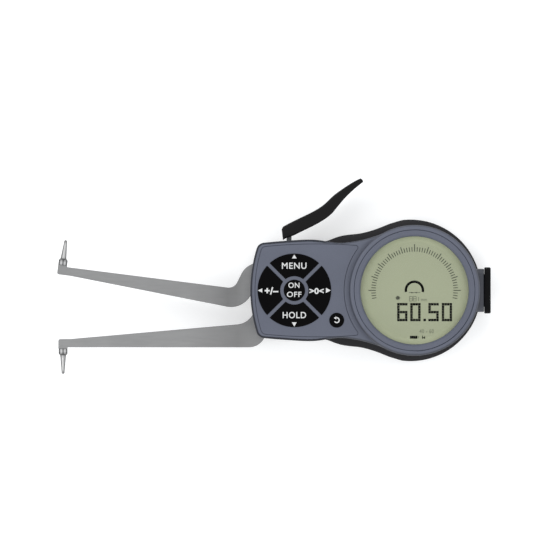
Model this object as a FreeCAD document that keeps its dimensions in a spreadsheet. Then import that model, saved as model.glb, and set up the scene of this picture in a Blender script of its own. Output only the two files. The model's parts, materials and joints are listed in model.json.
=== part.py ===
"""Internal caliper gauge, 40 to 60 mm, hand held, with a digital dial.

Frame, in millimetres: the gauge lies on its back. +Z is up, out of the display, +X runs
from the arms to the data port and +Y to the operating lever. The origin lies on the flat
back, under the middle of the dial.
"""
import FreeCAD, Part
import Sketcher
import math
import os

V = FreeCAD.Vector
os.makedirs("parts", exist_ok=True)
doc = FreeCAD.newDocument("internal_gauge")
sheet = doc.addObject("Spreadsheet::Sheet", "Dimensions")
DIM = {}


def cells(rows):
    for name, value, note in rows:
        n = len(DIM) + 1
        sheet.set("A%d" % n, name)
        sheet.set("B%d" % n, repr(float(value)))
        sheet.set("C%d" % n, note)
        sheet.setAlias("B%d" % n, name)
        DIM[name] = float(value)


cells([
    # heights of the layers, from the flat back upwards
    ("floor_top", 2.2, "inner face of the back"),
    ("part_line", 13.5, "joint between rear and front shell"),
    ("panel_seat", 25.4, "floor of the recess for the keypad panel"),
    ("face_top", 26.4, "top of the keypad zone"),
    ("ring_top", 29.6, "top of the dial head"),
    ("ceiling", 23.9, "underside of the front wall in the keypad zone"),
    ("ledge_top", 24.6, "seat of the bezel ring"),
    # shells
    ("rear_wall", 2.8, "wall of the rear shell"),
    ("front_wall", 2.4, "wall of the front shell"),
    ("head_rad", 29.6, "outer radius of the front shell's dial head"),
    ("rear_head_rad", 32.06, "outer radius of the rear shell's head"),
    ("rear_head_x", -1.92, "centre of the rear shell's head"),
    ("left_rad", 64.0, "bow of the left edge"),
    ("left_edge", -74.35, "left end of the housing"),
    ("well_rad", 26.4, "inside radius of the dial head"),
    ("mouth_rad", 27.45, "opening for the bezel ring"),
    ("rim_low", 10.4, "underside of the rear shell's rim"),
    ("seal_deep", 1.0, "depth of the gasket groove"),
    ("seal_high", 0.95, "height of the gasket"),
    # dial
    ("bezel_out", 27.31, "outer radius of the bezel ring"),
    ("bezel_in", 24.55, "inner radius of the bezel ring"),
    ("bezel_bore", 25.9, "bore of the bezel ring below its lip"),
    ("bezel_top", 29.2, "top of the bezel ring"),
    ("lip_low", 28.0, "underside of the bezel's lip"),
    ("lens_rad", 25.8, "window radius"),
    ("lens_low", 26.6, "window underside"),
    ("lcd_rad", 25.6, "display glass radius"),
    ("lcd_low", 23.1, "display glass underside"),
    ("lcd_high", 25.1, "display glass top"),
    ("holder_rad", 26.1, "display holder radius"),
    ("holder_low", 20.9, "display holder underside"),
    ("board_rad", 21.4, "main board radius"),
    ("board_low", 17.6, "main board underside"),
    ("board_high", 19.0, "main board top"),
    # keypad
    ("pad_x", -54.4, "middle of the round keypad"),
    ("pad_y", 0.0, "middle of the round keypad"),
    ("disc_rad", 16.65, "outer radius of the sector keys' openings"),
    ("hub_key_rad", 4.84, "centre key's opening"),
    ("hub_gap_rad", 6.43, "inner radius of the sector keys' openings"),
    ("half_bar", 0.79, "half the width of the bars between the sector keys"),
    ("key_gap", 0.13, "gap round a key"),
    ("small_x", -35.25, "small round key"),
    ("small_y", -13.5, "small round key"),
    ("small_rad", 3.36, "small round key's opening"),
    ("key_low", 24.0, "foot of a key"),
    ("flange_top", 25.05, "top of a key's flange"),
    ("key_top", 27.0, "top of a key"),
    ("flange_rad", 17.0, "outer radius of the sector keys' flanges"),
    ("sheet_low", 22.6, "keypad mat underside"),
    ("sheet_high", 23.1, "keypad mat top"),
    ("pcb_low", 21.4, "keypad board underside"),
    # arms and pivot
    ("arm_low", 10.5, "underside of both arms"),
    ("arm_thick", 6.0, "thickness of both arms"),
    ("pivot_x", -55.9, "pivot of the moving arm"),
    ("pivot_y", 6.9, "pivot of the moving arm"),
    ("shaft_rad", 1.98, "pivot shaft"),
    ("bearing_bore", 2.02, "bearing bore radius"),
    ("bearing_out", 4.5, "bearing outer radius"),
    ("bearing_wide", 2.5, "bearing width"),
    ("hub_low", 8.4, "underside of the moving arm's hub"),
    ("hub_high", 17.2, "top of the moving arm's hub"),
    ("hub_rad", 4.2, "hub radius"),
    ("chassis_low", 4.2, "chassis underside"),
    ("chassis_high", 7.8, "chassis top"),
    ("bridge_low", 17.7, "bearing bridge underside"),
    ("bridge_high", 20.2, "bearing bridge top"),
    ("slot_low", 10.1, "slot for the arms in the left wall"),
    ("slot_high", 16.9, "slot for the arms in the left wall"),
    # lever
    ("lever_x", -56.8, "pivot of the lever"),
    ("lever_y", 18.6, "pivot of the lever"),
    ("push_off", 3.67, "from the lever's pivot to its push pin"),
    ("pin_rad", 1.25, "lever pivot pin"),
    ("push_rad", 1.1, "push pin"),
    ("crank_low", 13.8, "crank plate underside"),
    ("crank_thick", 2.8, "crank plate thickness"),
    ("handle_low", 10.7, "lever handle underside"),
    ("handle_thick", 9.0, "lever handle height"),
    # back
    ("cover_half_x", 16.4, "battery cover half width"),
    ("cover_half_y", 24.2, "battery cover half length"),
    ("cover_thick", 1.2, "battery cover thickness"),
    ("cell_rad", 5.25, "round cell"),
    ("cell_long", 44.5, "round cell"),
    ("cell_off", 5.45, "middle of each cell from the middle plane"),
    ("cell_mid", 7.55, "height of the cells' axes"),
    # port
    ("neck_half", 9.8, "port neck half width"),
    ("neck_low", 7.9, "port neck underside"),
    ("neck_high", 19.1, "port neck top"),
    ("neck_end", 31.4, "outer end of the neck"),
    ("cap_start", 31.5, "inner face of the cap"),
    ("cap_end", 34.46, "outer face of the cap"),
    ("cap_half", 10.45, "cap half width"),
    ("screw_rad", 1.2, "housing screw shank"),
])
doc.recompute()


# --- small language for lengths: "a + b - c", each a number, a cell or "2*cell" ---------
def split(e):
    sign, out = 1.0, []
    for word in str(e).split():
        if word in "+-":
            sign = 1.0 if word == "+" else -1.0
            continue
        factor, cell = 1.0, word
        if "*" in word:
            a, cell = word.split("*")
            factor = float(a)
        out.append((sign, factor, cell))
        sign = 1.0
    return out


def num(e):
    if not isinstance(e, str):
        return float(e)
    return sum(s * f * (DIM[c] if c in DIM else float(c)) for s, f, c in split(e))


def ex(e):
    parts = []
    for s, f, c in split(e):
        text = "Dimensions." + c if c in DIM else c
        if f != 1.0:
            text = "%r * %s" % (f, text)
        parts.append(("- " if s < 0 else "+ ") + text)
    text = " ".join(parts)
    return text[2:] if text.startswith("+ ") else text


def bind(obj, prop, e):
    if isinstance(e, str):
        obj.setExpression(prop, ex(e))
    else:
        steps = prop.split(".")
        if len(steps) == 1:
            setattr(obj, prop, float(e))
        else:
            obj.setExpression(prop, repr(float(e)))


# --- bodies, sketches and features ---------------------------------------------------
PIECES = []
COUNT = {}


def fresh(kind):
    COUNT[kind] = COUNT.get(kind, 0) + 1
    return "%s%03d" % (kind, COUNT[kind])


def node(obj, label):
    obj.Label = label
    PIECES.append(obj)
    return obj


def body(label, x=0, y=0, z=0, turn=None, keep=True):
    b = doc.addObject("PartDesign::Body", label if keep else fresh("Body"))
    if hasattr(b, "AllowCompound"):
        b.AllowCompound = True
    if turn is not None:
        b.Placement = FreeCAD.Placement(V(0, 0, 0), FreeCAD.Rotation(V(0, 0, 1), turn))
    for axis, e in (("x", x), ("y", y), ("z", z)):
        if isinstance(e, str) or e:
            bind(b, "Placement.Base." + axis, e)
    if keep:
        node(b, label)
    return b


def sketch(b, z=0, plane="XY_Plane"):
    sk = b.newObject("Sketcher::SketchObject", fresh("Sketch"))
    base = [f for f in b.Origin.OriginFeatures if f.Role == plane][0]
    sk.AttachmentSupport = [(base, "")]
    sk.MapMode = "FlatFace"
    if isinstance(z, str) or z:
        bind(sk, "AttachmentOffset.Base.z", z)
    return sk


def fix(sk, todo):
    """Adds constraints, each with the cell expression that drives it."""
    made = sk.addConstraint([c for c, _ in todo])
    for index, (_, e) in zip(made, todo):
        if isinstance(e, str):
            sk.setExpression("Constraints[%d]" % index, ex(e))


def circle(sk, r, x=0, y=0):
    g = sk.addGeometry(Part.Circle(V(num(x), num(y), 0), V(0, 0, 1), num(r)), False)
    todo = [(Sketcher.Constraint("Radius", g, num(r)), r)]
    if not isinstance(x, str) and not isinstance(y, str) and x == 0 and y == 0:
        todo.append((Sketcher.Constraint("Coincident", g, 3, -1, 1), 0))
    else:
        todo.append((Sketcher.Constraint("DistanceX", -1, 1, g, 3, num(x)), x))
        todo.append((Sketcher.Constraint("DistanceY", -1, 1, g, 3, num(y)), y))
    fix(sk, todo)
    return sk


def poly(sk, pts):
    """Closed polygon whose corners are driven by cells."""
    n = len(pts)
    at = [V(num(x), num(y), 0) for x, y in pts]
    first = sk.addGeometry([Part.LineSegment(at[i], at[(i + 1) % n]) for i in range(n)], False)[0]
    sk.addConstraint([Sketcher.Constraint("Coincident", first + i, 2, first + (i + 1) % n, 1) for i in range(n)])
    todo = []
    for i, (x, y) in enumerate(pts):
        todo.append((Sketcher.Constraint("DistanceX", -1, 1, first + i, 1, num(x)), x))
        todo.append((Sketcher.Constraint("DistanceY", -1, 1, first + i, 1, num(y)), y))
    fix(sk, todo)
    return sk


def box(sk, x0, y0, x1, y1):
    return poly(sk, [(x0, y0), (x1, y0), (x1, y1), (x0, y1)])


def draw(sk, edges):
    sk.addGeometry(edges, False)
    return sk


def rounded(pts):
    """Edges of a closed polygon given as (x, y, corner radius)."""
    n, ends = len(pts), []
    for i in range(n):
        p0, p, p1 = V(*pts[i - 1][:2], 0), V(*pts[i][:2], 0), V(*pts[(i + 1) % n][:2], 0)
        r = pts[i][2] if len(pts[i]) > 2 else 0
        a, c = (p0 - p), (p1 - p)
        a.normalize()
        c.normalize()
        half = math.acos(max(-1, min(1, a.dot(c)))) / 2
        if r <= 0 or abs(half - math.pi / 2) < 1e-3:
            ends.append((p, None, p))
            continue
        reach = r / math.tan(half)
        way = a + c
        way.normalize()
        mid = p + way * (r / math.sin(half) - r)
        ends.append((p + a * reach, mid, p + c * reach))
    edges = []
    for i in range(n):
        start, mid, stop = ends[i]
        if mid is not None:
            edges.append(Part.Arc(start, mid, stop))
        after = ends[(i + 1) % n][0]
        if (after - stop).Length > 1e-6:
            edges.append(Part.LineSegment(stop, after))
    return edges


def add(b, sk, length, up=True):
    f = b.newObject("PartDesign::Pad", fresh("Pad"))
    f.Profile = sk
    bind(f, "Length", length)
    f.Reversed = not up
    sk.Visibility = False
    b.Tip = f
    return f


def cut(b, sk, length, up=False):
    """Pocket downwards from the sketch, or upwards."""
    doc.recompute()
    before = b.Shape.Volume
    f = b.newObject("PartDesign::Pocket", fresh("Pocket"))
    f.Profile = sk
    bind(f, "Length", length)
    f.Reversed = up
    b.Tip = f
    doc.recompute()
    if not b.Shape.Volume < before - 1e-6:
        print("pocket cuts nothing:", b.Label, f.Name)
    return f


def edges_where(shape, test):
    names = []
    for i, e in enumerate(shape.Edges):
        if test(e):
            names.append("Edge%d" % (i + 1))
    return names


def at_height(z, tol=1e-3):
    return lambda e: abs(e.BoundBox.ZMin - z) < tol and abs(e.BoundBox.ZMax - z) < tol


def upright(e):
    return e.BoundBox.ZLength > 0.05 and e.BoundBox.XLength < 1e-3 and e.BoundBox.YLength < 1e-3


def soften(b, test, size, kind="Fillet"):
    """Fillet or chamfer on the edges that test picks; smaller if that size can't be made."""
    doc.recompute()
    for share in (1.0, 0.75, 0.5, 0.3):
        names = edges_where(b.Tip.Shape, test)
        if not names:
            print("no edges:", b.Label)
            return None
        f = b.newObject("PartDesign::" + kind, fresh(kind))
        old = b.Tip if b.Tip != f else f.BaseFeature
        f.Base = (f.BaseFeature or old, names)
        if kind == "Fillet":
            f.Radius = size * share
        else:
            f.Size = size * share
        b.Tip = f
        doc.recompute()
        good = "Invalid" not in f.State and "Error" not in f.State and not f.Shape.isNull() and f.Shape.isValid()
        if good:
            if share < 1:
                print("softened less:", b.Label, size, share)
            return f
        back = f.BaseFeature
        b.removeObject(f)
        doc.removeObject(f.Name)
        b.Tip = back
        doc.recompute()
    print("not softened:", b.Label, size)
    return None


def spin(label, pts, x=0, y=0, z=0):
    """Turned piece: (radius, height) outline round an upright axis at x, y."""
    b = body(label, x, y, z)
    sk = sketch(b, 0, "XZ_Plane")
    poly(sk, pts)
    f = b.newObject("PartDesign::Revolution", fresh("Revolution"))
    f.Profile = sk
    f.ReferenceAxis = (sk, ["V_Axis"])
    f.Angle = 360
    b.Tip = f
    return b


def cylinder(r, z, height, x=0, y=0):
    c = doc.addObject("Part::Cylinder", fresh("Cylinder"))
    bind(c, "Radius", r)
    bind(c, "Height", height)
    for axis, e in (("x", x), ("y", y), ("z", z)):
        bind(c, "Placement.Base." + axis, e)
    return c


def block(x, y, z, dx, dy, dz):
    c = doc.addObject("Part::Box", fresh("Box"))
    for prop, e in (("Length", dx), ("Width", dy), ("Height", dz)):
        bind(c, prop, e)
    for axis, e in (("x", x), ("y", y), ("z", z)):
        bind(c, "Placement.Base." + axis, e)
    return c


def join(parts, label=None):
    f = doc.addObject("Part::MultiFuse", label or fresh("Join"))
    f.Shapes = parts
    return node(f, label) if label else f


def less(base, tool, label=None):
    f = doc.addObject("Part::Cut", label or fresh("Less"))
    f.Base, f.Tool = base, tool
    return node(f, label) if label else f


# --- outlines of the housing ---------------------------------------------------------
def mirror(pts):
    return [V(p.x, -p.y, 0) for p in pts]


def housing(head_x, head_r, start, way_points, corner, inward=0.0, corner_r=3.7):
    """Closed outline: round head, splines along both long sides, bowed left edge.

    start is the angle on the head where the spline begins, way_points lie along the upper
    side, corner is (x, y, slope) of the upper side by the left corner.
    """
    r = head_r - inward
    a = math.radians(start)
    p0 = V(head_x + r * math.cos(a), r * math.sin(a), 0)
    t0 = V(-math.sin(a), math.cos(a), 0)
    ring = [V(head_x + head_r * math.cos(a), head_r * math.sin(a), 0)]
    ring += [V(x, y, 0) for x, y in way_points] + [V(corner[0], corner[1], 0)]
    inner = []
    for i in range(1, len(ring) - 1):
        along = ring[i + 1] - ring[i - 1]
        along.normalize()
        inner.append(ring[i] + V(-along.y, along.x, 0) * inward)
    slope = V(-1, -corner[2], 0)
    slope.normalize()
    n = V(-slope.y, slope.x, 0)  # points into the housing
    rc = max(corner_r - inward, 0.9)
    big = num("left_rad") - inward
    cl = V(num("left_edge") + num("left_rad"), 0, 0)
    base = ring[-1] + n * (inward + rc)
    # centre of the corner arc: on the line base + t * slope, at big - rc from cl
    d = base - cl
    bq = 2 * d.dot(slope)
    cq = d.dot(d) - (big - rc) ** 2
    t = (-bq + math.sqrt(bq * bq - 4 * cq)) / 2
    centre = base + slope * t
    top = centre - n * rc
    u = centre - cl
    u.normalize()
    side = cl + u * big
    bis = (top - centre) + (side - centre)
    bis.normalize()
    upper = Part.BSplineCurve()
    upper.interpolate(Points=[p0] + inner + [top], InitialTangent=t0 * 4, FinalTangent=slope * 4)
    lower = Part.BSplineCurve()
    lower.interpolate(Points=mirror([p0] + inner + [top]), InitialTangent=V(t0.x, -t0.y, 0) * 4,
                      FinalTangent=V(slope.x, -slope.y, 0) * 4)
    m = lambda p: V(p.x, -p.y, 0)
    mid = centre + bis * rc
    return [
        Part.Arc(m(p0), V(head_x + r, 0, 0), p0),
        upper,
        Part.Arc(top, mid, side),
        Part.Arc(side, V(cl.x - big, 0, 0), m(side)),
        Part.Arc(m(side), m(mid), m(top)),
        lower,
    ]


FRONT_SIDE = [(-18.1, 24.45), (-23.5, 22.9), (-29.0, 21.9), (-34.4, 21.5), (-39.8, 22.2), (-44.3, 22.85),
              (-48.4, 23.0), (-54.3, 22.72), (-62.4, 22.15)]
REAR_SIDE = [(-8.1, 31.13), (-11.8, 29.97), (-15.4, 28.5), (-19.0, 27.22), (-22.6, 26.2), (-26.2, 25.56),
             (-29.9, 25.2), (-33.5, 24.58), (-37.1, 23.38), (-40.4, 22.28), (-44.3, 22.5), (-48.4, 22.85),
             (-54.3, 22.6), (-62.4, 22.05)]


def front_line(inward=0.0):
    return housing(0.0, num("head_rad"), 118.2, FRONT_SIDE, (-67.9, 21.62, 0.11), inward)


def rear_line(inward=0.0):
    return housing(num("rear_head_x"), num("rear_head_rad"), 94.6, REAR_SIDE, (-67.9, 21.55, 0.11), inward)


def three_point(p, q, r):
    """Centre and radius of the circle through three points."""
    c = Part.Circle(V(*p, 0), V(*q, 0), V(*r, 0))
    return c.Center, c.Radius


def meet(c0, r0, c1, r1, near):
    """The meeting point of two circles that lies nearest to a point."""
    d = c1 - c0
    gap = d.Length
    a = (r0 * r0 - r1 * r1 + gap * gap) / (2 * gap)
    rise = math.sqrt(r0 * r0 - a * a)
    d.normalize()
    side = V(-d.y, d.x, 0) * rise
    both = [c0 + d * a + side, c0 + d * a - side]
    return min(both, key=lambda p: (p - V(*near, 0)).Length)


def panel_line(grow=0.0):
    """Outline of the keypad panel: bowed left edge, bowed long edges, concave towards the dial."""
    cl = V(num("left_edge") + num("left_rad"), 0, 0)
    rl = num("left_rad") - 2.15 + grow
    ct, rt = three_point((-68.6, 19.75), (-47.5, 21.0), (-26.5, 20.35))
    rt += grow
    rd = 31.9 - grow
    a = meet(cl, rl, ct, rt, (-69.5, 19.5))
    b = meet(V(0, 0, 0), rd, ct, rt, (-25, 20))
    m = lambda p: V(p.x, -p.y, 0)
    top = ct + V(0, rt, 0)

    def blend(c0, r0, rest0, c1, r1, rest1, r, corner):
        """Start, middle and end of a corner arc of radius r that touches two circles."""
        c = meet(c0, rest0, c1, rest1, (corner.x, corner.y))
        p, q = c0 + (c - c0) * (r0 / (c - c0).Length), c1 + (c - c1) * (r1 / (c - c1).Length)
        half = (p - c) + (q - c)
        half.normalize()
        return p, c + half * r, q

    a1, am, a2 = blend(ct, rt, rt - 2.3 - grow, cl, rl, rl - 2.3 - grow, 2.3 + grow, a)
    b1, bm, b2 = blend(V(0, 0, 0), rd, rd + 1.0 + grow, ct, rt, rt - 1.0 - grow, 1.0 + grow, b)
    return [
        Part.Arc(b2, top, a1),
        Part.Arc(a1, am, a2),
        Part.Arc(a2, V(cl.x - rl, 0, 0), m(a2)),
        Part.Arc(m(a2), m(am), m(a1)),
        Part.Arc(m(a1), m(top), m(b2)),
        Part.Arc(m(b2), m(bm), m(b1)),
        Part.Arc(m(b1), V(-rd, 0, 0), b1),
        Part.Arc(b1, bm, b2),
    ]


def sector(cx, cy, rin, rout, bar, mid):
    """Edges of a key sector, 90 degrees less the bars, with its middle at angle mid."""
    out = []
    for side in (-1, 1):
        a = math.radians(mid + side * 45)
        d = V(math.cos(a), math.sin(a), 0)
        n = V(math.sin(a), -math.cos(a), 0) * side
        for r in ((rin, rout) if side < 0 else (rout, rin)):
            out.append(V(cx, cy, 0) + n * bar + d * math.sqrt(r * r - bar * bar))
    m = V(math.cos(math.radians(mid)), math.sin(math.radians(mid)), 0)
    c = V(cx, cy, 0)
    return [
        Part.LineSegment(out[0], out[1]),
        Part.Arc(out[1], c + m * rout, out[2]),
        Part.LineSegment(out[2], out[3]),
        Part.Arc(out[3], c + m * rin, out[0]),
    ]


# --- places of the screws --------------------------------------------------------------
A35 = math.radians(35.0)
HEAD_SCREWS = [(24.6 * math.cos(A35), 24.6 * math.sin(A35) * t) for t in (1, -1)]
HOUSING_SCREWS = HEAD_SCREWS + [(-26.0, 17.3), (-26.0, -17.3), (-67.6, 17.7), (-44.0, -18.9)]
CHASSIS_SCREWS = [(-67.5, 2.0), (-35.8, 16.0), (-33.0, -12.5)]
BRIDGE_POSTS = [(-47.5, 15.7), (-46.8, -1.7), (-63.2, -4.6)]
ARM_SCREWS = [(-63.0, -12.6), (-51.5, -11.6)]
SENSOR_POSTS = [(-31.0, 12.6), (-30.8, -3.4)]
BOARD_POSTS = [(-33.2, 7.0), (-33.2, -5.6)]
COVER_SCREWS = [(14.3, 0.0), (-14.3, 0.0)]
SLOT = [(-80, 14.5), (-69.0, 14.5), (-69.0, -9.5), (-63.6, -17.5), (-71.6, -26.1), (-80, -26.1)]

# --- rear shell --------------------------------------------------------------------------
rear = body("rear_shell")
add(rear, draw(sketch(rear), rear_line()), "part_line")
soften(rear, at_height(0), 3.1)
soften(rear, at_height(num("part_line")), 0.5)
cut(rear, draw(sketch(rear, "rim_low"), rear_line(num("rear_wall"))), "rim_low - floor_top")
# the rim above it reaches in under the wall of the front shell, and carries the gasket
cut(rear, draw(sketch(rear, "part_line"), front_line(2.8)), "part_line - rim_low + 0.2")
sk = sketch(rear, "floor_top - 0.2")
for x, y in HOUSING_SCREWS:
    circle(sk, 2.8, x, y)
add(rear, sk, "part_line - floor_top + 0.1")
sk = sketch(rear, "floor_top - 0.2")
for x, y in CHASSIS_SCREWS:
    circle(sk, 3.0, x, y)
add(rear, sk, "chassis_low - floor_top + 0.2")
sk = sketch(rear, "floor_top - 0.2")
circle(sk, 2.2, "lever_x", "lever_y")
add(rear, sk, "part_line - floor_top - 0.1")
sk = sketch(rear, "floor_top - 0.2")
for x, y in COVER_SCREWS:
    circle(sk, 2.1, x, y)
add(rear, sk, 6.0)
cut(rear, draw(sketch(rear, 0), rounded([(-11.2, -22.8, 2), (11.2, -22.8, 2), (11.2, 22.8, 2), (-11.2, 22.8, 2)])),
    "floor_top + 0.5", up=True)
cut(rear, draw(sketch(rear, 0), rounded([(-16.5, -24.3, 5), (16.5, -24.3, 5), (16.5, 24.3, 5), (-16.5, 24.3, 5)])),
    1.5, up=True)
sk = sketch(rear, 0)
for x, y in HOUSING_SCREWS:
    circle(sk, 2.3, x, y)
cut(rear, sk, 2.4, up=True)
sk = sketch(rear, 0)
for x, y in HOUSING_SCREWS:
    circle(sk, 1.4, x, y)
cut(rear, sk, "part_line + 1", up=True)
sk = sketch(rear, "chassis_low")
for x, y in CHASSIS_SCREWS:
    circle(sk, 1.2, x, y)
cut(rear, sk, 2.8)
sk = sketch(rear, 1.5)
for x, y in COVER_SCREWS:
    circle(sk, 0.95, x, y)
cut(rear, sk, 5.5, up=True)
sk = sketch(rear, "part_line")
circle(sk, "pin_rad", "lever_x", "lever_y")
cut(rear, sk, 6.5)
cut(rear, draw(sketch(rear, "part_line + 1"), rounded(SLOT)), "part_line + 1 - slot_low")
sk = sketch(rear, "part_line + 1")
box(sk, 22.0, "0 - neck_half - 0.1", 40.0, "neck_half + 0.1")
cut(rear, sk, "part_line + 1.1 - neck_low")

sk = draw(sketch(rear, "part_line"), front_line(0.9))
draw(sk, front_line(1.8))
cut(rear, sk, "seal_deep")

# --- front shell ---------------------------------------------------------------------------
front = body("front_shell")
add(front, draw(sketch(front, "part_line"), front_line()), "face_top - part_line")
soften(front, at_height(num("face_top")), 1.1)
sk = sketch(front, "part_line + 2")
circle(sk, "head_rad")
add(front, sk, "ring_top - part_line - 2")
soften(front, at_height(num("ring_top")), 1.3)
cut(front, draw(sketch(front, "part_line"), front_line(num("front_wall"))), "ceiling - part_line", up=True)
sk = sketch(front, "part_line")
circle(sk, "well_rad")
cut(front, sk, "ledge_top - part_line", up=True)
sk = sketch(front, "ring_top + 1")
circle(sk, "mouth_rad")
cut(front, sk, "ring_top + 1 - ledge_top")
soften(front, lambda e: at_height(num("ring_top"))(e) and abs(e.BoundBox.XLength - 2 * num("mouth_rad")) < 0.01, 0.25)
cut(front, draw(sketch(front, "face_top + 0.5"), panel_line(0.12)), "face_top + 0.5 - panel_seat")
sk = sketch(front, "panel_seat + 0.1")
circle(sk, "flange_rad + 0.25", "pad_x", "pad_y")
circle(sk, 4.2, "small_x", "small_y")
cut(front, sk, "panel_seat + 0.2 - ceiling")
sk = sketch(front, "part_line")
for x, y in HEAD_SCREWS:
    circle(sk, 2.8, x, y)
add(front, sk, "holder_low - part_line")
sk = sketch(front, "part_line")
for x, y in HOUSING_SCREWS[2:]:
    circle(sk, 2.5, x, y)
add(front, sk, "ceiling - part_line + 0.2")
sk = sketch(front, 17.0)
box(sk, -59.0, 18.6, -54.6, 21.4)
add(front, sk, "ceiling - 17.0")
sk = sketch(front, 17.0)
circle(sk, 2.2, "lever_x", "lever_y")
add(front, sk, "pcb_low - 17.2")
sk = sketch(front, "sheet_low")
for x, y in BOARD_POSTS:
    circle(sk, 2.2, x, y)
add(front, sk, "ceiling - sheet_low + 0.2")
sk = sketch(front, "part_line - 0.1")
for x, y in HOUSING_SCREWS:
    circle(sk, "screw_rad", x, y)
cut(front, sk, 5.6, up=True)
sk = sketch(front, "part_line - 0.1")
circle(sk, "pin_rad", "lever_x", "lever_y")
cut(front, sk, "20.6 - part_line", up=True)
sk = sketch(front, "sheet_low - 0.1")
for x, y in BOARD_POSTS:
    circle(sk, 0.8, x, y)
cut(front, sk, 2.0, up=True)
cut(front, draw(sketch(front, "part_line - 1"), rounded(SLOT)), "slot_high + 1 - part_line", up=True)
# slot for the lever's stem, in the upper wall
sk = sketch(front, "part_line - 0.1")
box(sk, -58.7, 19.0, -52.4, 26.0)
cut(front, sk, "17.0 - part_line + 0.1", up=True)
sk = sketch(front, "part_line - 0.1")
box(sk, -60.3, 19.0, -53.3, 21.75)
cut(front, sk, "17.0 - part_line + 0.1", up=True)
sk = sketch(front, "part_line - 0.1")
box(sk, 22.0, "0 - neck_half - 0.1", 40.0, "neck_half + 0.1")
cut(front, sk, "neck_high - part_line + 0.1", up=True)

# --- gasket between the shells ------------------------------------------------------------
seal = body("shell_gasket")
sk = draw(sketch(seal, "part_line"), front_line(0.95))
draw(sk, front_line(1.75))
add(seal, sk, "seal_high", up=False)
cut(seal, draw(sketch(seal, "part_line + 1"), rounded([(-80, 15.0), (-69.7, 15.0), (-69.7, -9.8), (-63.2, -17.2), (-71.2, -26.6),
                                                      (-80, -26.6)])), 4.0)
sk = sketch(seal, "part_line + 1")
box(sk, 22.0, "0 - neck_half - 0.3", 40.0, "neck_half + 0.3")
cut(seal, sk, 4.0)

# --- keypad ---------------------------------------------------------------------------------
panel = body("keypad_panel")
add(panel, draw(sketch(panel, "panel_seat"), panel_line(0.0)), "face_top - panel_seat")
soften(panel, at_height(num("face_top")), 0.15, "Chamfer")
px, py = num("pad_x"), num("pad_y")
for k in range(4):
    sk = sketch(panel, "face_top + 1")
    draw(sk, sector(px, py, num("hub_gap_rad"), num("disc_rad"), num("half_bar"), 90.0 * k))
    cut(panel, sk, "face_top + 2 - panel_seat")
sk = sketch(panel, "face_top + 1")
circle(sk, "hub_key_rad", "pad_x", "pad_y")
circle(sk, "small_rad", "small_x", "small_y")
cut(panel, sk, "face_top + 2 - panel_seat")
gap = num("key_gap")
for label, turn in (("key_right", 0.0), ("key_top", 90.0), ("key_left", 180.0), ("key_bottom", 270.0)):
    key = body(label, "pad_x", "pad_y", 0, turn)
    sk = sketch(key, "key_low")
    draw(sk, sector(0, 0, 5.95, num("flange_rad"), 0.4, 0.0))
    add(key, sk, "flange_top - key_low")
    sk = sketch(key, "flange_top - 0.1")
    draw(sk, sector(0, 0, num("hub_gap_rad") + gap, num("disc_rad") - gap, num("half_bar") + gap, 0.0))
    add(key, sk, "key_top - flange_top + 0.1")
    soften(key, lambda e: upright(e) and e.BoundBox.ZMax > num("key_top") - 0.01, 0.5)
    soften(key, at_height(num("key_top")), 0.3)
key = body("key_centre", "pad_x", "pad_y")
add(key, circle(sketch(key, "key_low"), 5.5), "flange_top - key_low")
add(key, circle(sketch(key, "flange_top - 0.1"), "hub_key_rad - key_gap"), "key_top - flange_top + 0.1")
soften(key, at_height(num("key_top")), 0.3)
key = body("key_small", "small_x", "small_y")
add(key, circle(sketch(key, "key_low"), 3.9), "flange_top - key_low")
add(key, circle(sketch(key, "flange_top - 0.1"), "small_rad - key_gap"), "key_top - flange_top + 0.1")
soften(key, at_height(num("key_top")), 0.3)

mat = body("keypad_mat")
add(mat, circle(sketch(mat, "sheet_low"), 17.3, "pad_x", "pad_y"), "sheet_high - sheet_low")
add(mat, draw(sketch(mat, "sheet_low"), rounded([(-46, -5, 1), (-37.2, -9.2, 1.5), (-31.2, -9.4, 2), (-31.2, -17.2, 2),
                                                 (-39.4, -17.2, 2), (-47, -12.0, 1)])), "sheet_high - sheet_low")
sk = sketch(mat, "sheet_high - 0.1")
for dx, dy in ((11.8, 0), (0, 11.8), (-11.8, 0), (0, -11.8), (0, 0)):
    circle(sk, 2.2, "pad_x + %r" % float(dx), "pad_y + %r" % float(dy))
circle(sk, 2.0, "small_x", "small_y")
add(mat, sk, "key_low - sheet_high + 0.1")
soften(mat, at_height(num("key_low")), 0.5, "Chamfer")
cut(mat, circle(sketch(mat, "key_low"), 2.6, "lever_x", "lever_y"), 2.0)

pcb = body("keypad_board")
add(pcb, circle(sketch(pcb, "pcb_low"), 17.3, "pad_x", "pad_y"), "sheet_low - pcb_low")
add(pcb, draw(sketch(pcb, "pcb_low"), rounded([(-50, 10, 0), (-30.2, 10, 1), (-30.2, -17.4, 1), (-40.4, -17.4, 0.5),
                                               (-41.6, -15.4, 0.5), (-50, -15.4, 0)])), "sheet_low - pcb_low")
sk = sketch(pcb, "sheet_low")
for x, y in BOARD_POSTS:
    circle(sk, 1.1, x, y)
cut(pcb, sk, 1.5)
cut(pcb, circle(sketch(pcb, "sheet_low + 0.1"), 2.6, "lever_x", "lever_y"), 2.0)
add(pcb, draw(sketch(pcb, "pcb_low"), rounded([(-43, -14, 0), (-37, -14, 0), (-37, -9, 0), (-43, -9, 0)])), 0.7, up=False)
add(pcb, draw(sketch(pcb, "pcb_low"), rounded([(-41, 4, 0), (-38, 4, 0), (-38, 8, 0), (-41, 8, 0)])), 0.5, up=False)

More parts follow.
